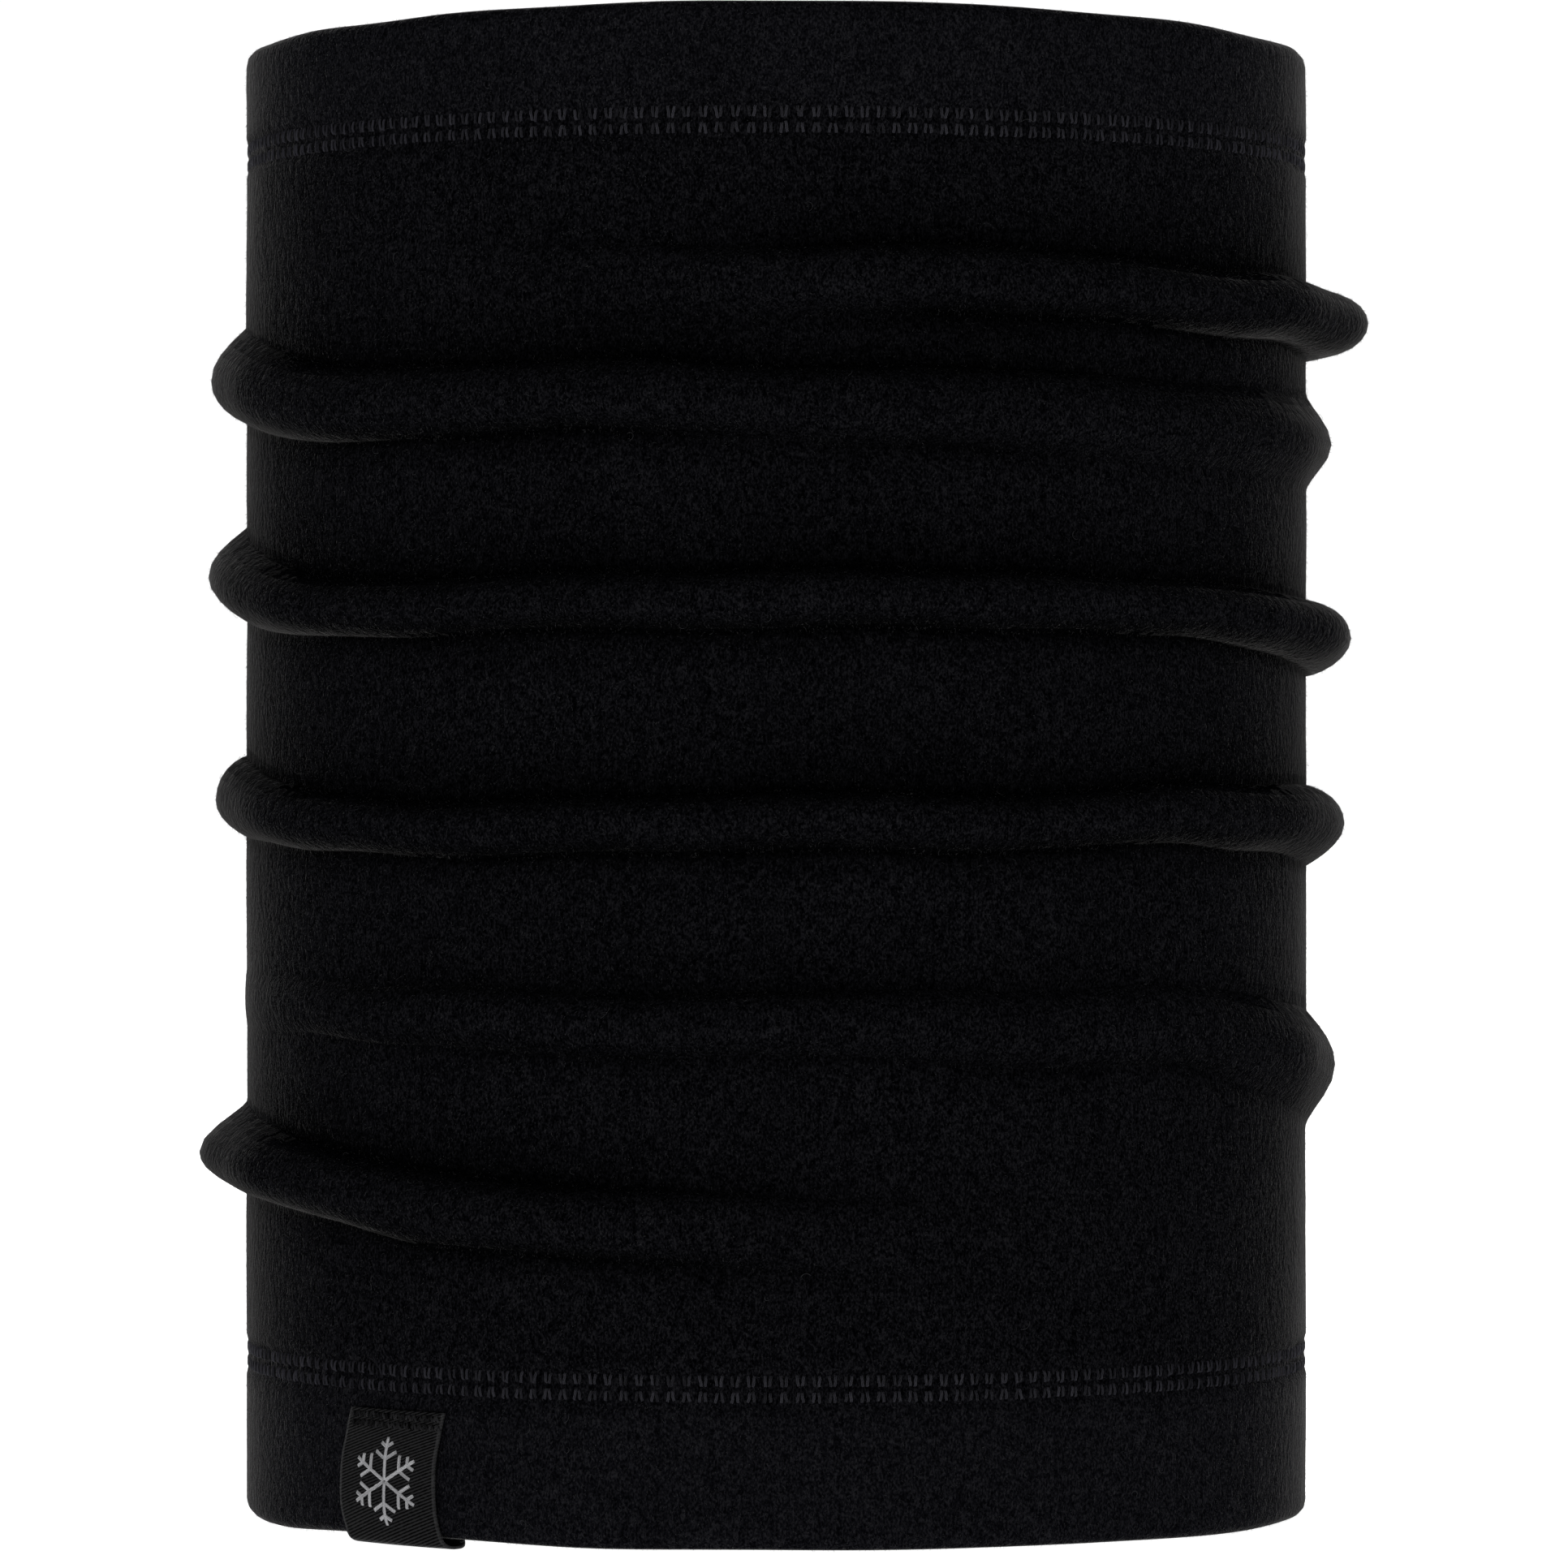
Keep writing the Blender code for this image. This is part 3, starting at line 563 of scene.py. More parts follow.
class Cloth:
    """The fleece's outer and inner surfaces, row by row, as heights and distances out of the tube."""

    def __init__(self):
        self.angles = 360.0 * np.arange(COLUMNS) / COLUMNS - 180.0
        front = np.cos(np.radians(self.angles))
        self.foot = LABEL_LIFT * near_label(self.angles) + FRONT_LIFT * np.maximum(front, 0) ** 2
        self.foot += 0.1 * MM * (1 + ripple(self.angles, 3, 3, 14))
        crown = RIM_CROWN * front**2
        self.rim = RIM_HEIGHT + crown + 0.2 * MM * ripple(self.angles, 4, 2, 16)
        self.rucks = [self.ruck(i, stops) for i, stops in enumerate(reversed(RUCKS))]
        self.outer, self.kept = self.outer_rows()
        self.inner = self.inner_rows()

    def ruck(self, i, stops):
        """A ruck's measures in metres, with the small unevenness of real cloth."""
        crest, out, above, below, soft_above, soft_below = ruck_measures(stops, self.angles).T
        crest = (crest + RUCK_WAVER * ripple(self.angles, 10 + i, 3, 15)) * MM
        out = np.maximum(out, 0) * (1 + 0.05 * ripple(self.angles, 20 + i, 4, 22)) * MM
        above = above * (1 + 0.03 * ripple(self.angles, 30 + i, 4, 18)) * MM
        below = below * (1 + 0.03 * ripple(self.angles, 40 + i, 4, 22)) * MM
        return crest, out, above, below, soft_above, soft_below

    def outer_rows(self):
        """Rows from the raw edge inside the bottom hem to the one inside the top hem.

        kept marks the rows that the inner surface has too.
        """
        rows, kept, creases = [], [], {}
        sideways = np.abs(np.sin(np.radians(self.angles)))

        def add(height, out, keep):
            rows.append((np.broadcast_to(height, COLUMNS), np.broadcast_to(out, COLUMNS)))
            kept.append(keep)

        def span(low, high, shares, keep_every):
            for k, share in enumerate(shares):
                add(low + (high - low) * share, 0.0, k % keep_every == 0)

        # The cloth turned in behind the bottom hem, and the fold
        for k, height in enumerate(np.linspace(BOTTOM_HEM_TOP, FOLD_REACH, 8)):
            add(height, -HEM_DEPTH, k in (0, 1, 4, 7))
        for k, turn in enumerate(np.radians(np.arange(180, 361, 30))):
            side = -HEM_DEPTH / 2 + HEM_DEPTH / 2 * math.cos(turn)
            add(self.foot + FOLD_HEIGHT * (1 + math.sin(turn)), side, k in (0, 3, 6))
        # The outer wall
        low = BOTTOM_STITCH - PINCH_HALF - PINCH_EASE
        span(self.foot + FOLD_REACH, low, (0.0, 0.3, 0.6, 0.85), 2)
        span(low, low + 2 * (PINCH_HALF + PINCH_EASE), np.linspace(0, 1, 11), 5)
        previous = low + 2 * (PINCH_HALF + PINCH_EASE)
        turns = np.radians(np.linspace(-90, 90, RUCK_STEPS))
        for crest, out, above, below, soft_above, soft_below in self.rucks:
            span(previous, crest - below, (0.08, 0.25, 0.5, 0.75, 0.9), 4)
            for k, turn in enumerate(turns):
                reach, soft = (below, soft_below) if turn < 0 else (above, soft_above)
                share = max(math.cos(turn), 0.0) ** soft
                if not LOWER_TURN < turn < UPPER_TURN:
                    start, end, fade = UPPER_ENDS if turn > 0 else LOWER_ENDS
                    fade = 1 - fade * ease_in((sideways - start) / (end - start))
                    creases[len(rows)] = ease_in((out / MM - 0.9) / 1.8) * fade
                add(crest + reach * math.sin(turn), out * share, k % 3 == 0)
            previous = crest + above
        low = TOP_STITCH - PINCH_HALF - PINCH_EASE
        span(previous, low, (0.08, 0.25, 0.55, 0.85), 3)
        span(low, low + 2 * (PINCH_HALF + PINCH_EASE), np.linspace(0, 1, 11), 5)
        span(low + 2 * (PINCH_HALF + PINCH_EASE), self.rim - FOLD_REACH, (0.2, 0.5, 0.8, 1.0), 2)
        # The fold, and the cloth turned in behind the top hem
        for k, turn in enumerate(np.radians(np.arange(0, 181, 30))):
            side = -HEM_DEPTH / 2 + HEM_DEPTH / 2 * math.cos(turn)
            add(self.rim - FOLD_HEIGHT * (1 - math.sin(turn)), side, k in (0, 3, 6))
        for k, share in enumerate(np.linspace(0, 1, 8)):
            top = self.rim - FOLD_REACH
            add(top + (TOP_HEM_LOW - top) * share, -HEM_DEPTH, k in (0, 3, 6, 7))
        heights = np.array([row[0] for row in rows])
        outs = np.array([row[1] for row in rows])
        self.creases = np.zeros(heights.shape)
        for row, depth in creases.items():
            self.creases[row] = depth
        return (heights, outs), np.array(kept)

    def inner_rows(self):
        """The kept rows, one cloth's thickness behind the outer surface."""
        heights, outs = self.outer
        rise, run = np.gradient(heights, axis=0), np.gradient(outs, axis=0)
        length = np.hypot(rise, run)
        inward = np.where(length > 0, rise / length, 0), np.where(length > 0, -run / length, 0)
        inner = heights - inward[1] * CLOTH, outs - inward[0] * CLOTH
        return inner[0][self.kept], inner[1][self.kept]

    def relief(self, heights, outs, points):
        """The cloth's softness: creases beside the rucks, pinched stitching and slight hollows."""
        relief = np.zeros_like(heights)
        wall = outs > -HEM_DEPTH / 2
        for crest, out, above, below, _, _ in self.rucks:
            depth = TUCK * np.clip(out / (3 * MM), 0, 1) * facing(self.angles)
            for edge in (crest + above, crest - below):
                relief -= wall * depth * np.exp(-(((heights - edge) / TUCK_WIDTH) ** 2))
        needles = 0.75 + 0.25 * np.cos(np.radians(self.angles + 180.0) * STITCHES)
        for stitch in (BOTTOM_STITCH, TOP_STITCH):
            relief += np.where(wall, -1, 0.7) * PINCH * pinched(heights, stitch) * needles
        slow = np.array([noise.noise(Vector(p) * 55.0) for p in points.reshape(-1, 3)])
        quick = np.array([noise.noise(Vector(p) * 240.0) for p in points.reshape(-1, 3)])
        return relief + (0.16 * MM * slow + 0.07 * MM * quick).reshape(heights.shape)

    def painted_light_and_shade(self, heights):
        """Painted light and shade on the cloth: 1 on the walls, lighter on the hems and darker in the
        creases.
        """
        # Painted light: lighter on the hems.
        hems = ease_in((heights - TOP_STITCH) / HEM_REACH)
        hems += ease_in((BOTTOM_STITCH - heights) / HEM_REACH)
        painted_shading = 1 + HEM_PAINTED_LIGHT * hems
        # Painted shade: darker in the creases beside each ruck.
        for crest, out, above, below, soft_above, soft_below in self.rucks:
            weight = np.clip(out / (3.2 * MM), 0, 1)
            over = np.interp((heights - crest - above) / MM, *UPPER_CREASE_SHADE)
            under = np.interp((heights - crest + below) / MM, *LOWER_CREASE_SHADE)
            painted_shading *= 1 - weight * crispness(soft_above) * (1 - over)
            painted_shading *= 1 - weight * crispness(soft_below) * (1 - under)
        return painted_shading

    def surface(self, heights, outs):
        """Points of the outer surface, with its relief."""
        plain = on_tube(self.angles, heights, outs)
        return on_tube(self.angles, heights, outs + self.relief(heights, outs, plain))

    def grades(self, count):
        """Which of this many fleeces each outer face has, from the open cloth into the creases; the
        crease fleeces have less sheen, a painted shade.
        """
        depth = (self.creases[:-1] + self.creases[1:]) / 2
        scatter = np.random.default_rng(61).uniform(-0.5, 0.5, depth.shape)
        return np.clip(np.round(depth * (count - 1) + scatter), 0, count - 1).astype(np.int32)

    def build(self, materials):
        heights, outs = self.outer
        self.outside = self.surface(heights, outs)
        inside = on_tube(self.angles, *self.inner)
        loop = np.concatenate([self.outside, inside[::-1]])
        faces = grid_faces(len(loop), COLUMNS, True, True).tolist()
        piece = new_piece("fleece_tube", loop, faces, materials[0])
        for material in materials[1:]:
            piece.data.materials.append(material)
        fleeces = np.zeros((len(loop), COLUMNS), np.int32)
        fleeces[: len(heights) - 1] = self.grades(len(materials))
        piece.data.polygons.foreach_set("material_index", fleeces.ravel())
        # Painted light and shade on the outer surface only; the inner surface keeps 1.
        set_painted_shading(piece, np.concatenate([self.painted_light_and_shade(heights), np.ones_like(self.inner[0])]))
        return piece

    def back_line(self):
        """The outer surface's (heights, distances out) up the back, between the two hems' edges."""
        heights, outs = self.outer
        first = np.argmax(outs[:, 0] > -0.5 * MM)
        last = len(outs) - np.argmax(outs[::-1, 0] > -0.5 * MM)
        return heights[first:last, 0], outs[first:last, 0]


# ---------------------------------------------------------------- stitches


def stroke_paths(origin, along, across, normal, start, end, lift, dice, plies=3, steps=7):
    """Plies of thread from start to end, which are (along, across) offsets from each origin.

    Each ply dives into the cloth at both ends and twists round the others on its way.
    """
    count = len(origin)
    jitter = dice.normal(0, 0.075 * MM, (2, count, 2))
    start = np.asarray(start) + jitter[0]
    end = np.asarray(end) + jitter[1]
    t = np.linspace(0, 1, steps)[None, :, None]
    flat = start[:, None] * (1 - t) + end[:, None] * t
    height = lift * (1 - (2 * t[..., 0] - 1) ** 6 * 2.4)
    direction = unit(end - start)
    sideways = np.stack([-direction[:, 1], direction[:, 0]], -1)
    paths, phase = [], dice.uniform(0, 2 * np.pi, count)
    for ply in range(plies):
        turn = phase[:, None] + 2 * np.pi * ply / plies + t[0, :, 0][None] * np.pi * 1.3
        swing = PLY_SWING * np.cos(turn)
        place = flat + sideways[:, None] * swing[..., None]
        rise = height + 0.07 * MM * np.sin(turn)
        paths.append(
            origin[:, None]
            + along[:, None] * place[..., :1]
            + across[:, None] * place[..., 1:]
            + normal[:, None] * rise[..., None]
        )
    return np.stack(paths, 1).reshape(-1, steps, 3)


def stitch_piece(name, groups, normals, material, dice, radius=0.095 * MM, plies=3):
    """One piece from several groups of strokes. Each stroke's plies share its shade."""
    points, faces, shades, base = [], [], [], 0
    for paths, normal in zip(groups, normals):
        up = np.repeat(normal, plies, axis=0)[:, None]
        made, made_faces = tubes(paths, np.broadcast_to(up, paths.shape), radius, 4)
        points.append(made)
        faces += (np.array(made_faces) + base).tolist()
        base += len(made)
        stroke = np.repeat(dice.beta(2.2, 1.6, len(normal)), plies)
        shades.append(np.repeat(stroke + dice.normal(0, 0.08, len(stroke)), paths.shape[1] * 4))
    piece = new_piece(name, np.concatenate(points), faces, material)
    set_shade(piece, np.concatenate(shades))
    return piece


def cover_strokes(origin, along, across, normal, dice):
    """The outer side of a coverstitch: a row of V over a row of splayed strokes."""
    strokes = (
        ((-0.50, 2.25), (-0.24, 0.20)),
        ((0.50, 2.25), (0.24, 0.20)),
        ((-0.22, -0.22), (-0.50, -2.15)),
        ((0.22, -0.22), (0.50, -2.15)),
    )
    return [
        stroke_paths(origin, along, across, normal, start * MM, end * MM, 0.30 * MM, dice)
        for start, end in np.array(strokes)
    ]


def needle_strokes(origin, along, across, normal, dice, rows, pitch):
    """The needle threads: straight dashes, one to a stitch in each row."""
    half = 0.44 * pitch
    return [
        stroke_paths(origin, along, across, normal, (-half, side), (half, side), 0.22 * MM, dice, plies=2)
        for side in (row * NEEDLE_SPACING for row in rows)
    ]


def hem_stitching(place, stitch, material):
    """One hem's cover thread outside and its three needle threads inside."""
    dice = np.random.default_rng(71 if place == "bottom" else 72)
    angles = 360.0 * np.arange(STITCHES) / STITCHES - 180.0
    normal, along = outward_at(angles), around_at(angles)
    across = np.broadcast_to(UPWARD, normal.shape)
    origin = on_tube(angles, stitch, -PINCH)
    groups = cover_strokes(origin, along, across, normal, dice)
    cover = stitch_piece(f"{place}_hem_cover_stitches", groups, [normal] * 4, material, dice)
    origin = on_tube(angles, stitch, -HEM_DEPTH + 0.7 * PINCH)
    pitch = 2 * np.pi * (HALF_WIDTH - HEM_DEPTH) / STITCHES
    groups = needle_strokes(origin, along, across, -normal, dice, (-1, 0, 1), pitch)
    needles = stitch_piece(
        f"{place}_hem_needle_stitches", groups, [-normal] * 3, material, dice, 0.13 * MM, plies=2
    )
    body = "lower_tube" if place == "bottom" else "upper_tube"
    hand_over(cover, "stitching", body, f"{place}_hem_cover_thread")
    rows = [f"{place}_hem_needle_thread_{row}" for row in ("lower", "middle", "upper")]
    hand_over(needles, "stitching", body, *rows)


def seam_frames(heights, outs, offset, pitch):
    """Stitch places up the back: origins, directions along, across and out of the cloth."""
    points = on_tube(180.0, heights, outs + offset)
    steps = np.linalg.norm(np.diff(points, axis=0), axis=1)
    travelled = np.concatenate([[0], np.cumsum(steps)])
    places = np.arange(pitch * 1.2, travelled[-1] - pitch, pitch)
    origin = np.stack([np.interp(places, travelled, points[:, k]) for k in range(3)], -1)
    ahead = np.stack([np.interp(places + 0.6 * MM, travelled, points[:, k]) for k in range(3)], -1)
    behind = np.stack([np.interp(places - 0.6 * MM, travelled, points[:, k]) for k in range(3)], -1)
    along = unit(ahead - behind)
    across = np.broadcast_to(np.array([-1.0, 0.0, 0.0]), along.shape)
    return origin, along, across, unit(np.cross(across, along))


def back_seam(cloth, material):
    """The flatlock seam up the back, outside and inside."""
    dice = np.random.default_rng(73)
    heights, outs = cloth.back_line()
    outer = seam_frames(heights, outs, -0.12 * MM, 2.3 * MM)
    groups = cover_strokes(*outer, dice)
    cover = stitch_piece("back_seam_cover_stitches", groups, [outer[3]] * 4, material, dice)
    wall = (heights > BOTTOM_HEM_TOP + 0.5 * MM) & (heights < TOP_HEM_LOW - 0.5 * MM)
    rise, run = np.gradient(heights), np.gradient(outs)
    length = np.hypot(rise, run)
    inner_heights = (heights + run / length * CLOTH)[wall]
    inner_outs = (outs - rise / length * CLOTH)[wall]
    origin, along, across, normal = seam_frames(inner_heights, inner_outs, 0.0, 2.3 * MM)
    groups = needle_strokes(origin, along, across, -normal, dice, (-1, 0, 1), 2.3 * MM)
    needles = stitch_piece(
        "back_seam_needle_stitches", groups, [-normal] * 3, material, dice, 0.13 * MM, plies=2
    )
    lengths = ("lower", "gathered", "upper")
    hand_over(cover, "stitching", None, *(f"{place}_back_seam_cover_thread" for place in lengths))
    hand_over(needles, "stitching", None, *(f"{place}_back_seam_needle_threads" for place in lengths))


# ---------------------------------------------------------------- the labels


def label_point(height, out, across):
    """A point beside the ribbon's middle line, across metres to its right."""
    turn = math.radians(LABEL_ANGLE)
    arc = math.pi / 180 * math.hypot(HALF_WIDTH * math.cos(turn), HALF_DEPTH * math.sin(turn))
    t = np.clip(np.asarray(height) / LABEL_TOP, 0, 1) ** 0.8
    low, middle, high = LABEL_LINE
    line = low * (1 - t) * (1 - 2 * t) + 4 * middle * t * (1 - t) + high * t * (2 * t - 1)
    return on_tube(line + across / arc, height, out)


def label_out(height, across):
    """How far the ribbon's outer face stands off the hem, puffed between its stitches and its fold."""
    t = np.clip(height / LABEL_TOP, 0, 1)
    side = across / LABEL_WIDTH
    puff = LABEL_PUFF * np.sin(np.pi * t**0.65) * (1.0 - 1.3 * side)
    wave = 0.06 * MM * np.sin(9.0 * t + 5.0 * side) + 0.05 * MM * np.sin(17.0 * t - 3.0)
    return LABEL_GAP + LABEL_THICK + puff + wave * ease_in(4 * (1 - t))


def add_ribbon(material):
    across = np.linspace(-0.5, 0.5, 57) * LABEL_WIDTH
    rows = []
    for height in np.linspace(LABEL_TOP, LABEL_FOLD, 60):
        rows.append((height, label_out(height, across)))
    start = label_out(LABEL_FOLD, across)
    back = -HEM_DEPTH - LABEL_GAP - LABEL_THICK
    for turn in np.radians(np.arange(9, 180, 9)):
        share = 0.5 + 0.5 * math.copysign(abs(math.cos(turn)) ** 0.6, math.cos(turn))
        rows.append((LABEL_FOLD * (1 - math.sin(turn) ** 0.6), back + (start - back) * share))
    for height in np.linspace(LABEL_FOLD, LABEL_INNER_TOP, 40):
        rows.append((height, back + 0 * across))
    heights = np.array([row[0] for row in rows])[:, None]
    outs = np.array([row[1] for row in rows])
    front = label_point(heights, outs, across)[::-1]
    piece = thick_sheet("ribbon_label", front, grid_normals(front), LABEL_THICK, material)
    steps = np.linalg.norm(np.diff(front[:, 28], axis=0), axis=1)
    travelled = np.concatenate([[0], np.cumsum(steps)])
    weave = np.stack(np.broadcast_arrays(across[None], travelled[:, None]), -1)
    set_uv(piece, "weave", np.concatenate([weave.reshape(-1, 2)] * 2))
    hand_over(piece, "label_ribbon", "lower_tube", "brand_label_ribbon")


def add_tacks(material):
    """The rows of dark stitches that hold the ribbon's two ends."""
    dice = np.random.default_rng(81)
    places = np.arange(-0.5 * LABEL_WIDTH + 0.8 * MM, 0.5 * LABEL_WIDTH - 1.2 * MM, TACK_PITCH)
    for name, top, side in (("outer", LABEL_TOP, 1), ("inner", LABEL_INNER_TOP, -1)):
        groups, normals = [], []
        for row, (shift, low) in enumerate(((0.0, -1.0 * MM), (0.45 * MM, -2.3 * MM))):
            across = places + shift
            height = np.full(len(across), top + low)
            out = label_out(height, across) if side > 0 else -HEM_DEPTH - LABEL_GAP - LABEL_THICK
            origin = label_point(height, out, across)
            angle = np.full(len(across), LABEL_ANGLE)
            normal, along = side * outward_at(angle), around_at(angle)
            up = np.broadcast_to(UPWARD, normal.shape)
            start, end = np.array((0.0, -0.45)) * MM, np.array((0.35, 0.55)) * MM
            back = start + (0.9 * MM, 0)
            groups.append(stroke_paths(origin, along, up, normal, start, end, 0.26 * MM, dice))
            groups.append(stroke_paths(origin, along, up, normal, end, back, 0.20 * MM, dice))
            normals += [normal, normal]
        piece = stitch_piece(f"label_{name}_stitches", groups, normals, material, dice)
        hand_over(piece, "stitching", "lower_tube", f"brand_label_{name}_stitches")


def motif_bars():
    """The crystal's bars, from start to end, in metres beside and above its middle."""
    bars = []
    for arm in range(6):
        heading = np.array([math.sin(math.pi / 3 * arm), math.cos(math.pi / 3 * arm)])
        bars.append((heading * 0.02, heading))
        for place, length in MOTIF_BRANCHES:
            for side in (-1, 1):
                turn = math.pi / 3 * (arm + side)
                branch = np.array([math.sin(turn), math.cos(turn)])
                bars.append((heading * place, heading * place + branch * length))
    return np.array(bars) * MOTIF_RADIUS


def add_motif(material):
    """A six-armed snow crystal, each bar a few strands of pale thread on the ribbon's face."""
    dice = np.random.default_rng(82)
    bars = motif_bars()
    t = np.linspace(0, 1, 13)
    paths = []
    for start, end in bars:
        heading = (end - start) / np.linalg.norm(end - start)
        beside = np.array([-heading[1], heading[0]])
        for strand in MOTIF_STRANDS:
            line = start + (end - start) * t[:, None] + beside * strand * MM
            line += beside * (0.03 * MM * np.sin(t[:, None] * 40 + dice.uniform(0, 6)))
            wave = 0.02 * MM * np.sin(t * 34 + dice.uniform(0, 6))
            lift = 0.07 * MM * (1 - (2 * t - 1) ** 8 * 1.8) + wave
            height = MOTIF_HEIGHT + line[:, 1]
            paths.append(label_point(height, label_out(height, line[:, 0]) + lift, line[:, 0]))
    paths = np.array(paths)
    up = np.broadcast_to(outward_at(np.array([LABEL_ANGLE]))[0], paths.shape)
    points, faces = tubes(paths, up, 0.105 * MM, 6)
    piece = new_piece("snow_crystal_motif", points, faces, material)
    set_shade(piece, np.repeat(dice.uniform(0.25, 1.0, len(paths)), len(t) * 6))
    hand_over(piece, "label_motif", "lower_tube", "brand_label_motif")


def add_care_label(material, thread):
    """The care label inside: a blank satin flap and the stitches along its sewn edge."""
    along = np.linspace(0.3 * MM, 0.3 * MM + CARE_WIDTH, 29)
    heights = np.linspace(CARE_LOW, CARE_HIGH, 45)
    share = (along / CARE_WIDTH)[None]
    lean = ((heights - CARE_LOW) / (CARE_HIGH - CARE_LOW))[:, None]
    sag = -along * (2 * CARE_HINGE_X + along) / (2 * HALF_DEPTH) + 0.5 * CARE_THICK
    curl = -0.5 * MM * share**2 * (1 + np.sin(5.0 * lean + 1.0)) * (0.4 + 0.6 * lean)
    x = np.broadcast_to(CARE_HINGE_X + along, (45, 29))
    y = CARE_HINGE_Y + sag[None] + curl
    z = np.broadcast_to(heights[:, None], (45, 29))
    front = np.stack([x, y, z], -1)[:, ::-1]
    piece = thick_sheet("care_label", front, grid_normals(front), CARE_THICK, material)
    weave = np.stack([x, z], -1)[:, ::-1].reshape(-1, 2)
    set_uv(piece, "weave", np.concatenate([weave, weave]))
    hand_over(piece, "care_ribbon", "care_label", "care_label_flap")
    dice = np.random.default_rng(83)
    places = np.arange(CARE_LOW + 1.0 * MM, CARE_HIGH - 0.6 * MM, 2.0 * MM)
    origin = np.stack([0 * places + CARE_HINGE_X - 1.5 * MM, 0 * places + CARE_HINGE_Y, places], -1)
    normal = np.broadcast_to(np.array([0.0, -1.0, 0.0]), origin.shape)
    upward = np.broadcast_to(UPWARD, origin.shape)
    across = np.broadcast_to(np.array([1.0, 0.0, 0.0]), origin.shape)
    half = 0.85 * MM
    groups = [
        stroke_paths(origin, upward, across, normal, (-half, row), (half, row), 0.2 * MM, dice)
        for row in (-0.45 * MM, 0.45 * MM)
    ]
    stitches = stitch_piece("care_label_thread", groups, [normal] * 2, thread, dice, 0.12 * MM)
    hand_over(stitches, "stitching", "lower_tube", "care_label_stitches")


# ---------------------------------------------------------------- the nap


def surface_spots(points, count, dice):
    """(places, normals, directions up the cloth), spread evenly over a grid of its points."""
    ahead = np.roll(points, -1, axis=1)
    right, rise = (ahead - points)[:-1], np.diff(points, axis=0)
    area = np.linalg.norm(np.cross(right, rise), axis=-1).ravel()
    cells = dice.choice(len(area), count, p=area / area.sum())
    a, b = dice.uniform(0, 1, (2, count, 1))
    right, rise = right.reshape(-1, 3)[cells], rise.reshape(-1, 3)[cells]
    place = points[:-1].reshape(-1, 3)[cells] + a * right + b * rise
    return place, unit(np.cross(right, rise)), unit(rise)


def add_nap(name, points, count, length, width, material, dice):
    """Short stray fibres that lean out of the cloth, each a closed sliver."""
    place, normal, upward = surface_spots(points, count, dice)
    side = np.cross(normal, upward)
    heading = dice.normal(-math.pi / 2, 0.9, (count, 1))
    lean = np.radians(dice.uniform(25, 72, (count, 1)))
    flat = side * np.cos(heading) + upward * np.sin(heading)
    direction = normal * np.cos(lean) + flat * np.sin(lean)
    reach = length * dice.uniform(0.55, 1.3, (count, 1))
    across = unit(np.cross(direction, normal))
    root = place - normal * 0.08 * MM
    corners = [root + width * (across * math.cos(k) + normal * math.sin(k)) for k in (0.0, 2.1, 4.2)]
    slivers = np.stack(corners + [root + direction * reach], 1)
    slivers[..., 2] = np.maximum(slivers[..., 2], 0.0)  # pressed flat where the hem stands
    pattern = np.array([(0, 2, 1), (0, 1, 3), (1, 2, 3), (2, 0, 3)])
    faces = (pattern[None] + 4 * np.arange(count)[:, None, None]).reshape(-1, 3)
    piece = new_piece(name, slivers, faces.tolist(), material, smooth=False)
    hand_over(piece, "fleece", None)


def add_lint(points, count, material, dice):
    """A few longer fibres that have worked loose and lie curled on the cloth."""
    place, normal, upward = surface_spots(points, count, dice)
    side = np.cross(normal, upward)
    t = np.linspace(0, 1, 9)
    heading = dice.uniform(0, 2 * np.pi, (count, 1)) + dice.uniform(1.2, 4.0, (count, 1)) * (t - 0.5)
    step = dice.uniform(0.9, 2.4, (count, 1)) * MM / 8
    x, y = np.cumsum(np.cos(heading) * step, 1), np.cumsum(np.sin(heading) * step, 1)
    rise = 0.12 * MM + 0.22 * MM * np.sin(np.pi * t) * dice.uniform(0.3, 1.2, (count, 1))
    paths = place[:, None] + side[:, None] * x[..., None] + upward[:, None] * y[..., None]
    paths = paths + normal[:, None] * rise[..., None]
    below = 0.03 * MM - paths[..., 2].min(1, keepdims=True)
    paths[..., 2] += np.maximum(below, 0.0)  # clear of the floor
    up = np.broadcast_to(normal[:, None], paths.shape)
    made, faces = tubes(paths, up, 0.022 * MM, 3)
    piece = new_piece("lint", made, faces, material)
    hand_over(piece, "fleece", None)


# ---------------------------------------------------------------- scene


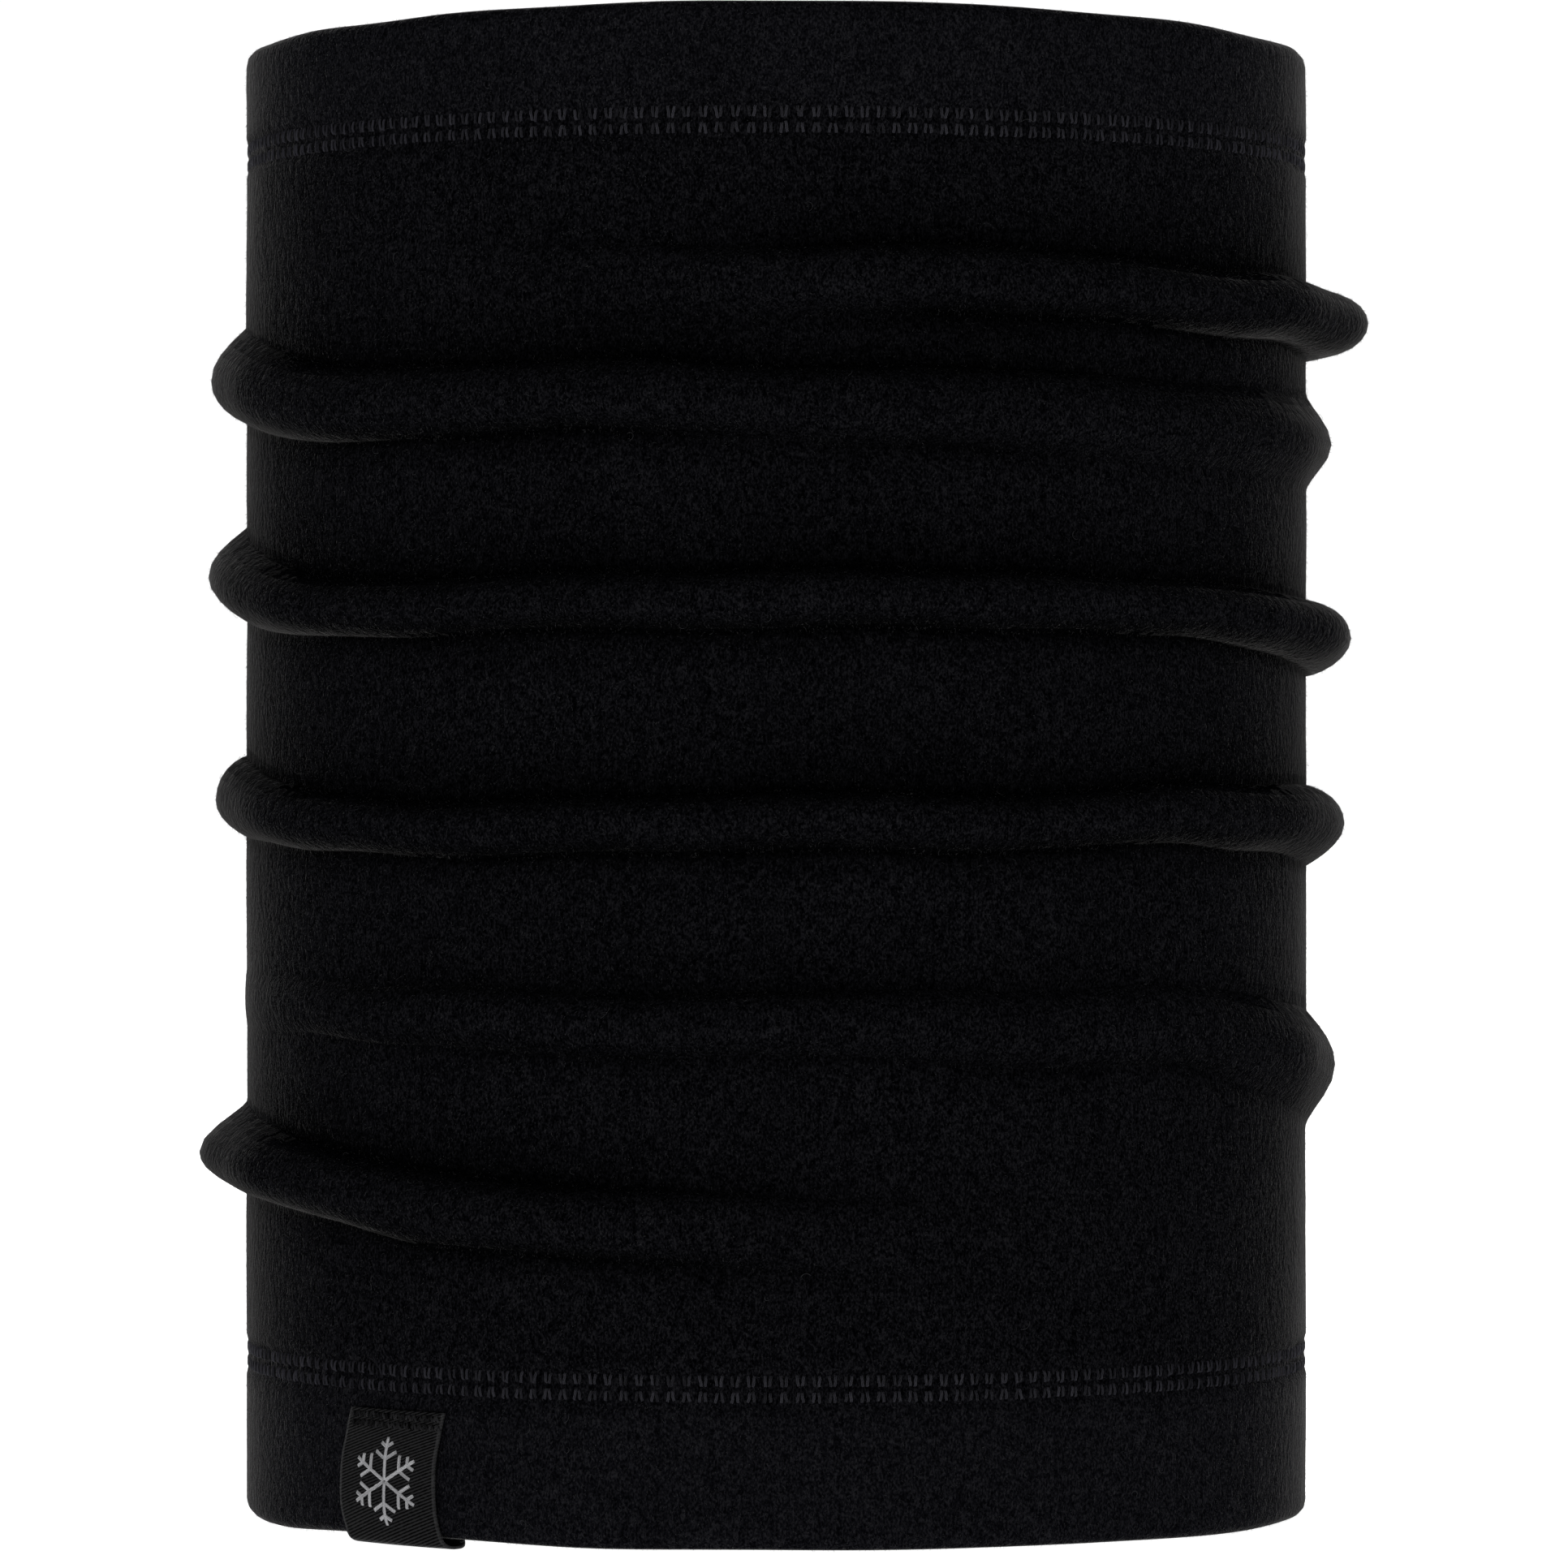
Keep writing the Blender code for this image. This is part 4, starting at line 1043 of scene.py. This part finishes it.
def add_stage():
    """A white floor, a white backdrop, and surroundings that are brightest low down and behind."""
    bpy.ops.mesh.primitive_circle_add(vertices=96, radius=FLOOR_RADIUS, fill_type="NGON")
    floor = bpy.context.object
    floor.name = "studio_floor"
    floor.data.materials.append(floor_material())
    floor.visible_diffuse = False
    floor.visible_glossy = False
    world = bpy.data.worlds.new("studio")
    bpy.context.scene.world = world
    world.use_nodes = True
    tree = world.node_tree
    backdrop = tree.nodes["Background"]
    surroundings = add_node(tree, "ShaderNodeBackground")
    direction = add_node(tree, "ShaderNodeSeparateXYZ")
    link(tree, add_node(tree, "ShaderNodeTexCoord").outputs["Generated"], direction.inputs["Vector"])
    level = maths(tree, "MULTIPLY_ADD", direction.outputs["Z"], 0.5, 0.5)
    around = ramp(tree, level, *((0.5 + z / 2, (shade,) * 3) for z, shade in SURROUNDINGS))
    behind = ramp(tree, direction.outputs["Y"], (0.55, (0.0,) * 3), (0.80, (1.0,) * 3))
    panel = mix_colour(tree, "MULTIPLY", 1.0, behind, (PANEL_SHARE,) * 3 + (1.0,))
    link(tree, mix_colour(tree, "ADD", 1.0, around, panel), surroundings.inputs["Color"])
    surroundings.inputs["Strength"].default_value = SURROUNDINGS_STRENGTH
    seen = add_node(tree, "ShaderNodeLightPath").outputs["Is Camera Ray"]
    either = add_node(tree, "ShaderNodeMixShader")
    link(tree, seen, either.inputs["Fac"])
    link(tree, surroundings.outputs["Background"], either.inputs[1])
    link(tree, backdrop.outputs["Background"], either.inputs[2])
    backdrop.inputs["Color"].default_value = (1.0, 1.0, 1.0, 1.0)
    backdrop.inputs["Strength"].default_value = BACKDROP_STRENGTH
    link(tree, either.outputs["Shader"], tree.nodes["World Output"].inputs["Surface"])


def add_camera():
    data = bpy.data.cameras.new("camera")
    data.sensor_width = SENSOR
    data.lens = SENSOR * CAMERA_DISTANCE / FRAME_SIZE
    made = bpy.data.objects.new("camera", data)
    made.location = (0.0, -CAMERA_DISTANCE, CAMERA_HEIGHT)
    made.rotation_euler = (math.pi / 2, 0.0, 0.0)
    bpy.context.scene.collection.objects.link(made)
    bpy.context.scene.camera = made
    bpy.context.scene.view_settings.view_transform = "Standard"


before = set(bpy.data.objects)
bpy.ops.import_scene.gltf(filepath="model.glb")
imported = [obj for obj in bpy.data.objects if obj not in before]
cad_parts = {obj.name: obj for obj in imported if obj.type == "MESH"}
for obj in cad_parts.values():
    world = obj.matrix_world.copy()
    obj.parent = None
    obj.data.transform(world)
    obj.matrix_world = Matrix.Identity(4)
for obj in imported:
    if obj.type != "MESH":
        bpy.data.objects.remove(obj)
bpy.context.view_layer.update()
add_camera()
add_stage()

fleeces = [fleece_material("fleece", SHEEN)]
# Copies of the fleece with less sheen, for painted shade in the creases.
for k, sheen in enumerate(CREASE_SHEENS):
    fleeces.append(fleece_material(f"shaded_fleece_crease_{k + 1}", sheen))
stitching = thread_material("stitching", (0.006, 0.006, 0.009), (0.044, 0.043, 0.054), 0.1)
tack_thread = thread_material("tack_thread", (0.0005, 0.0005, 0.0005), (0.040, 0.040, 0.042), 0.0)
motif_thread = thread_material("motif_thread", (0.30, 0.30, 0.31), (0.62, 0.62, 0.64), 0.1)
ribbon = ribbon_material(
    "label_ribbon", (0.0005, 0.0005, 0.0005), (0.0300, 0.0300, 0.0310),
    TWILL_PITCH, TWILL_SLOPE, 0.0, LABEL_WIDTH,
)
satin = ribbon_material(
    "care_ribbon", (0.026, 0.026, 0.029), (0.056, 0.056, 0.060), SATIN_PITCH, 0.0, 0.1, 1.0
)
nap = new_material("nap", Base_Color=(0.020, 0.020, 0.023, 1.0), Roughness=0.8, Sheen_Weight=0.3)[0]
pale_nap = new_material("pale_nap", Base_Color=(0.060, 0.060, 0.066, 1.0), Roughness=0.7)[0]

cloth = Cloth()
tube = cloth.build(fleeces)
hand_over(
    tube, "fleece", None,
    "bottom_hem", "lower_fleece_wall", "gathered_fleece_wall", "upper_fleece_wall", "top_hem",
)
hem_stitching("bottom", BOTTOM_STITCH, stitching)
hem_stitching("top", TOP_STITCH, stitching)
back_seam(cloth, stitching)
add_ribbon(ribbon)
add_tacks(tack_thread)
add_motif(motif_thread)
add_care_label(satin, stitching)
dice = np.random.default_rng(91)
open_cloth = cloth.outside[8:-8]
for k in range(NAP_PIECES):
    add_nap(f"nap_{k + 1}", open_cloth, NAP_COUNT, *NAP_SIZE, nap, dice)
add_nap("pale_nap", open_cloth, PALE_COUNT, *PALE_SIZE, pale_nap, dice)
add_lint(open_cloth, LINT_COUNT, pale_nap, dice)
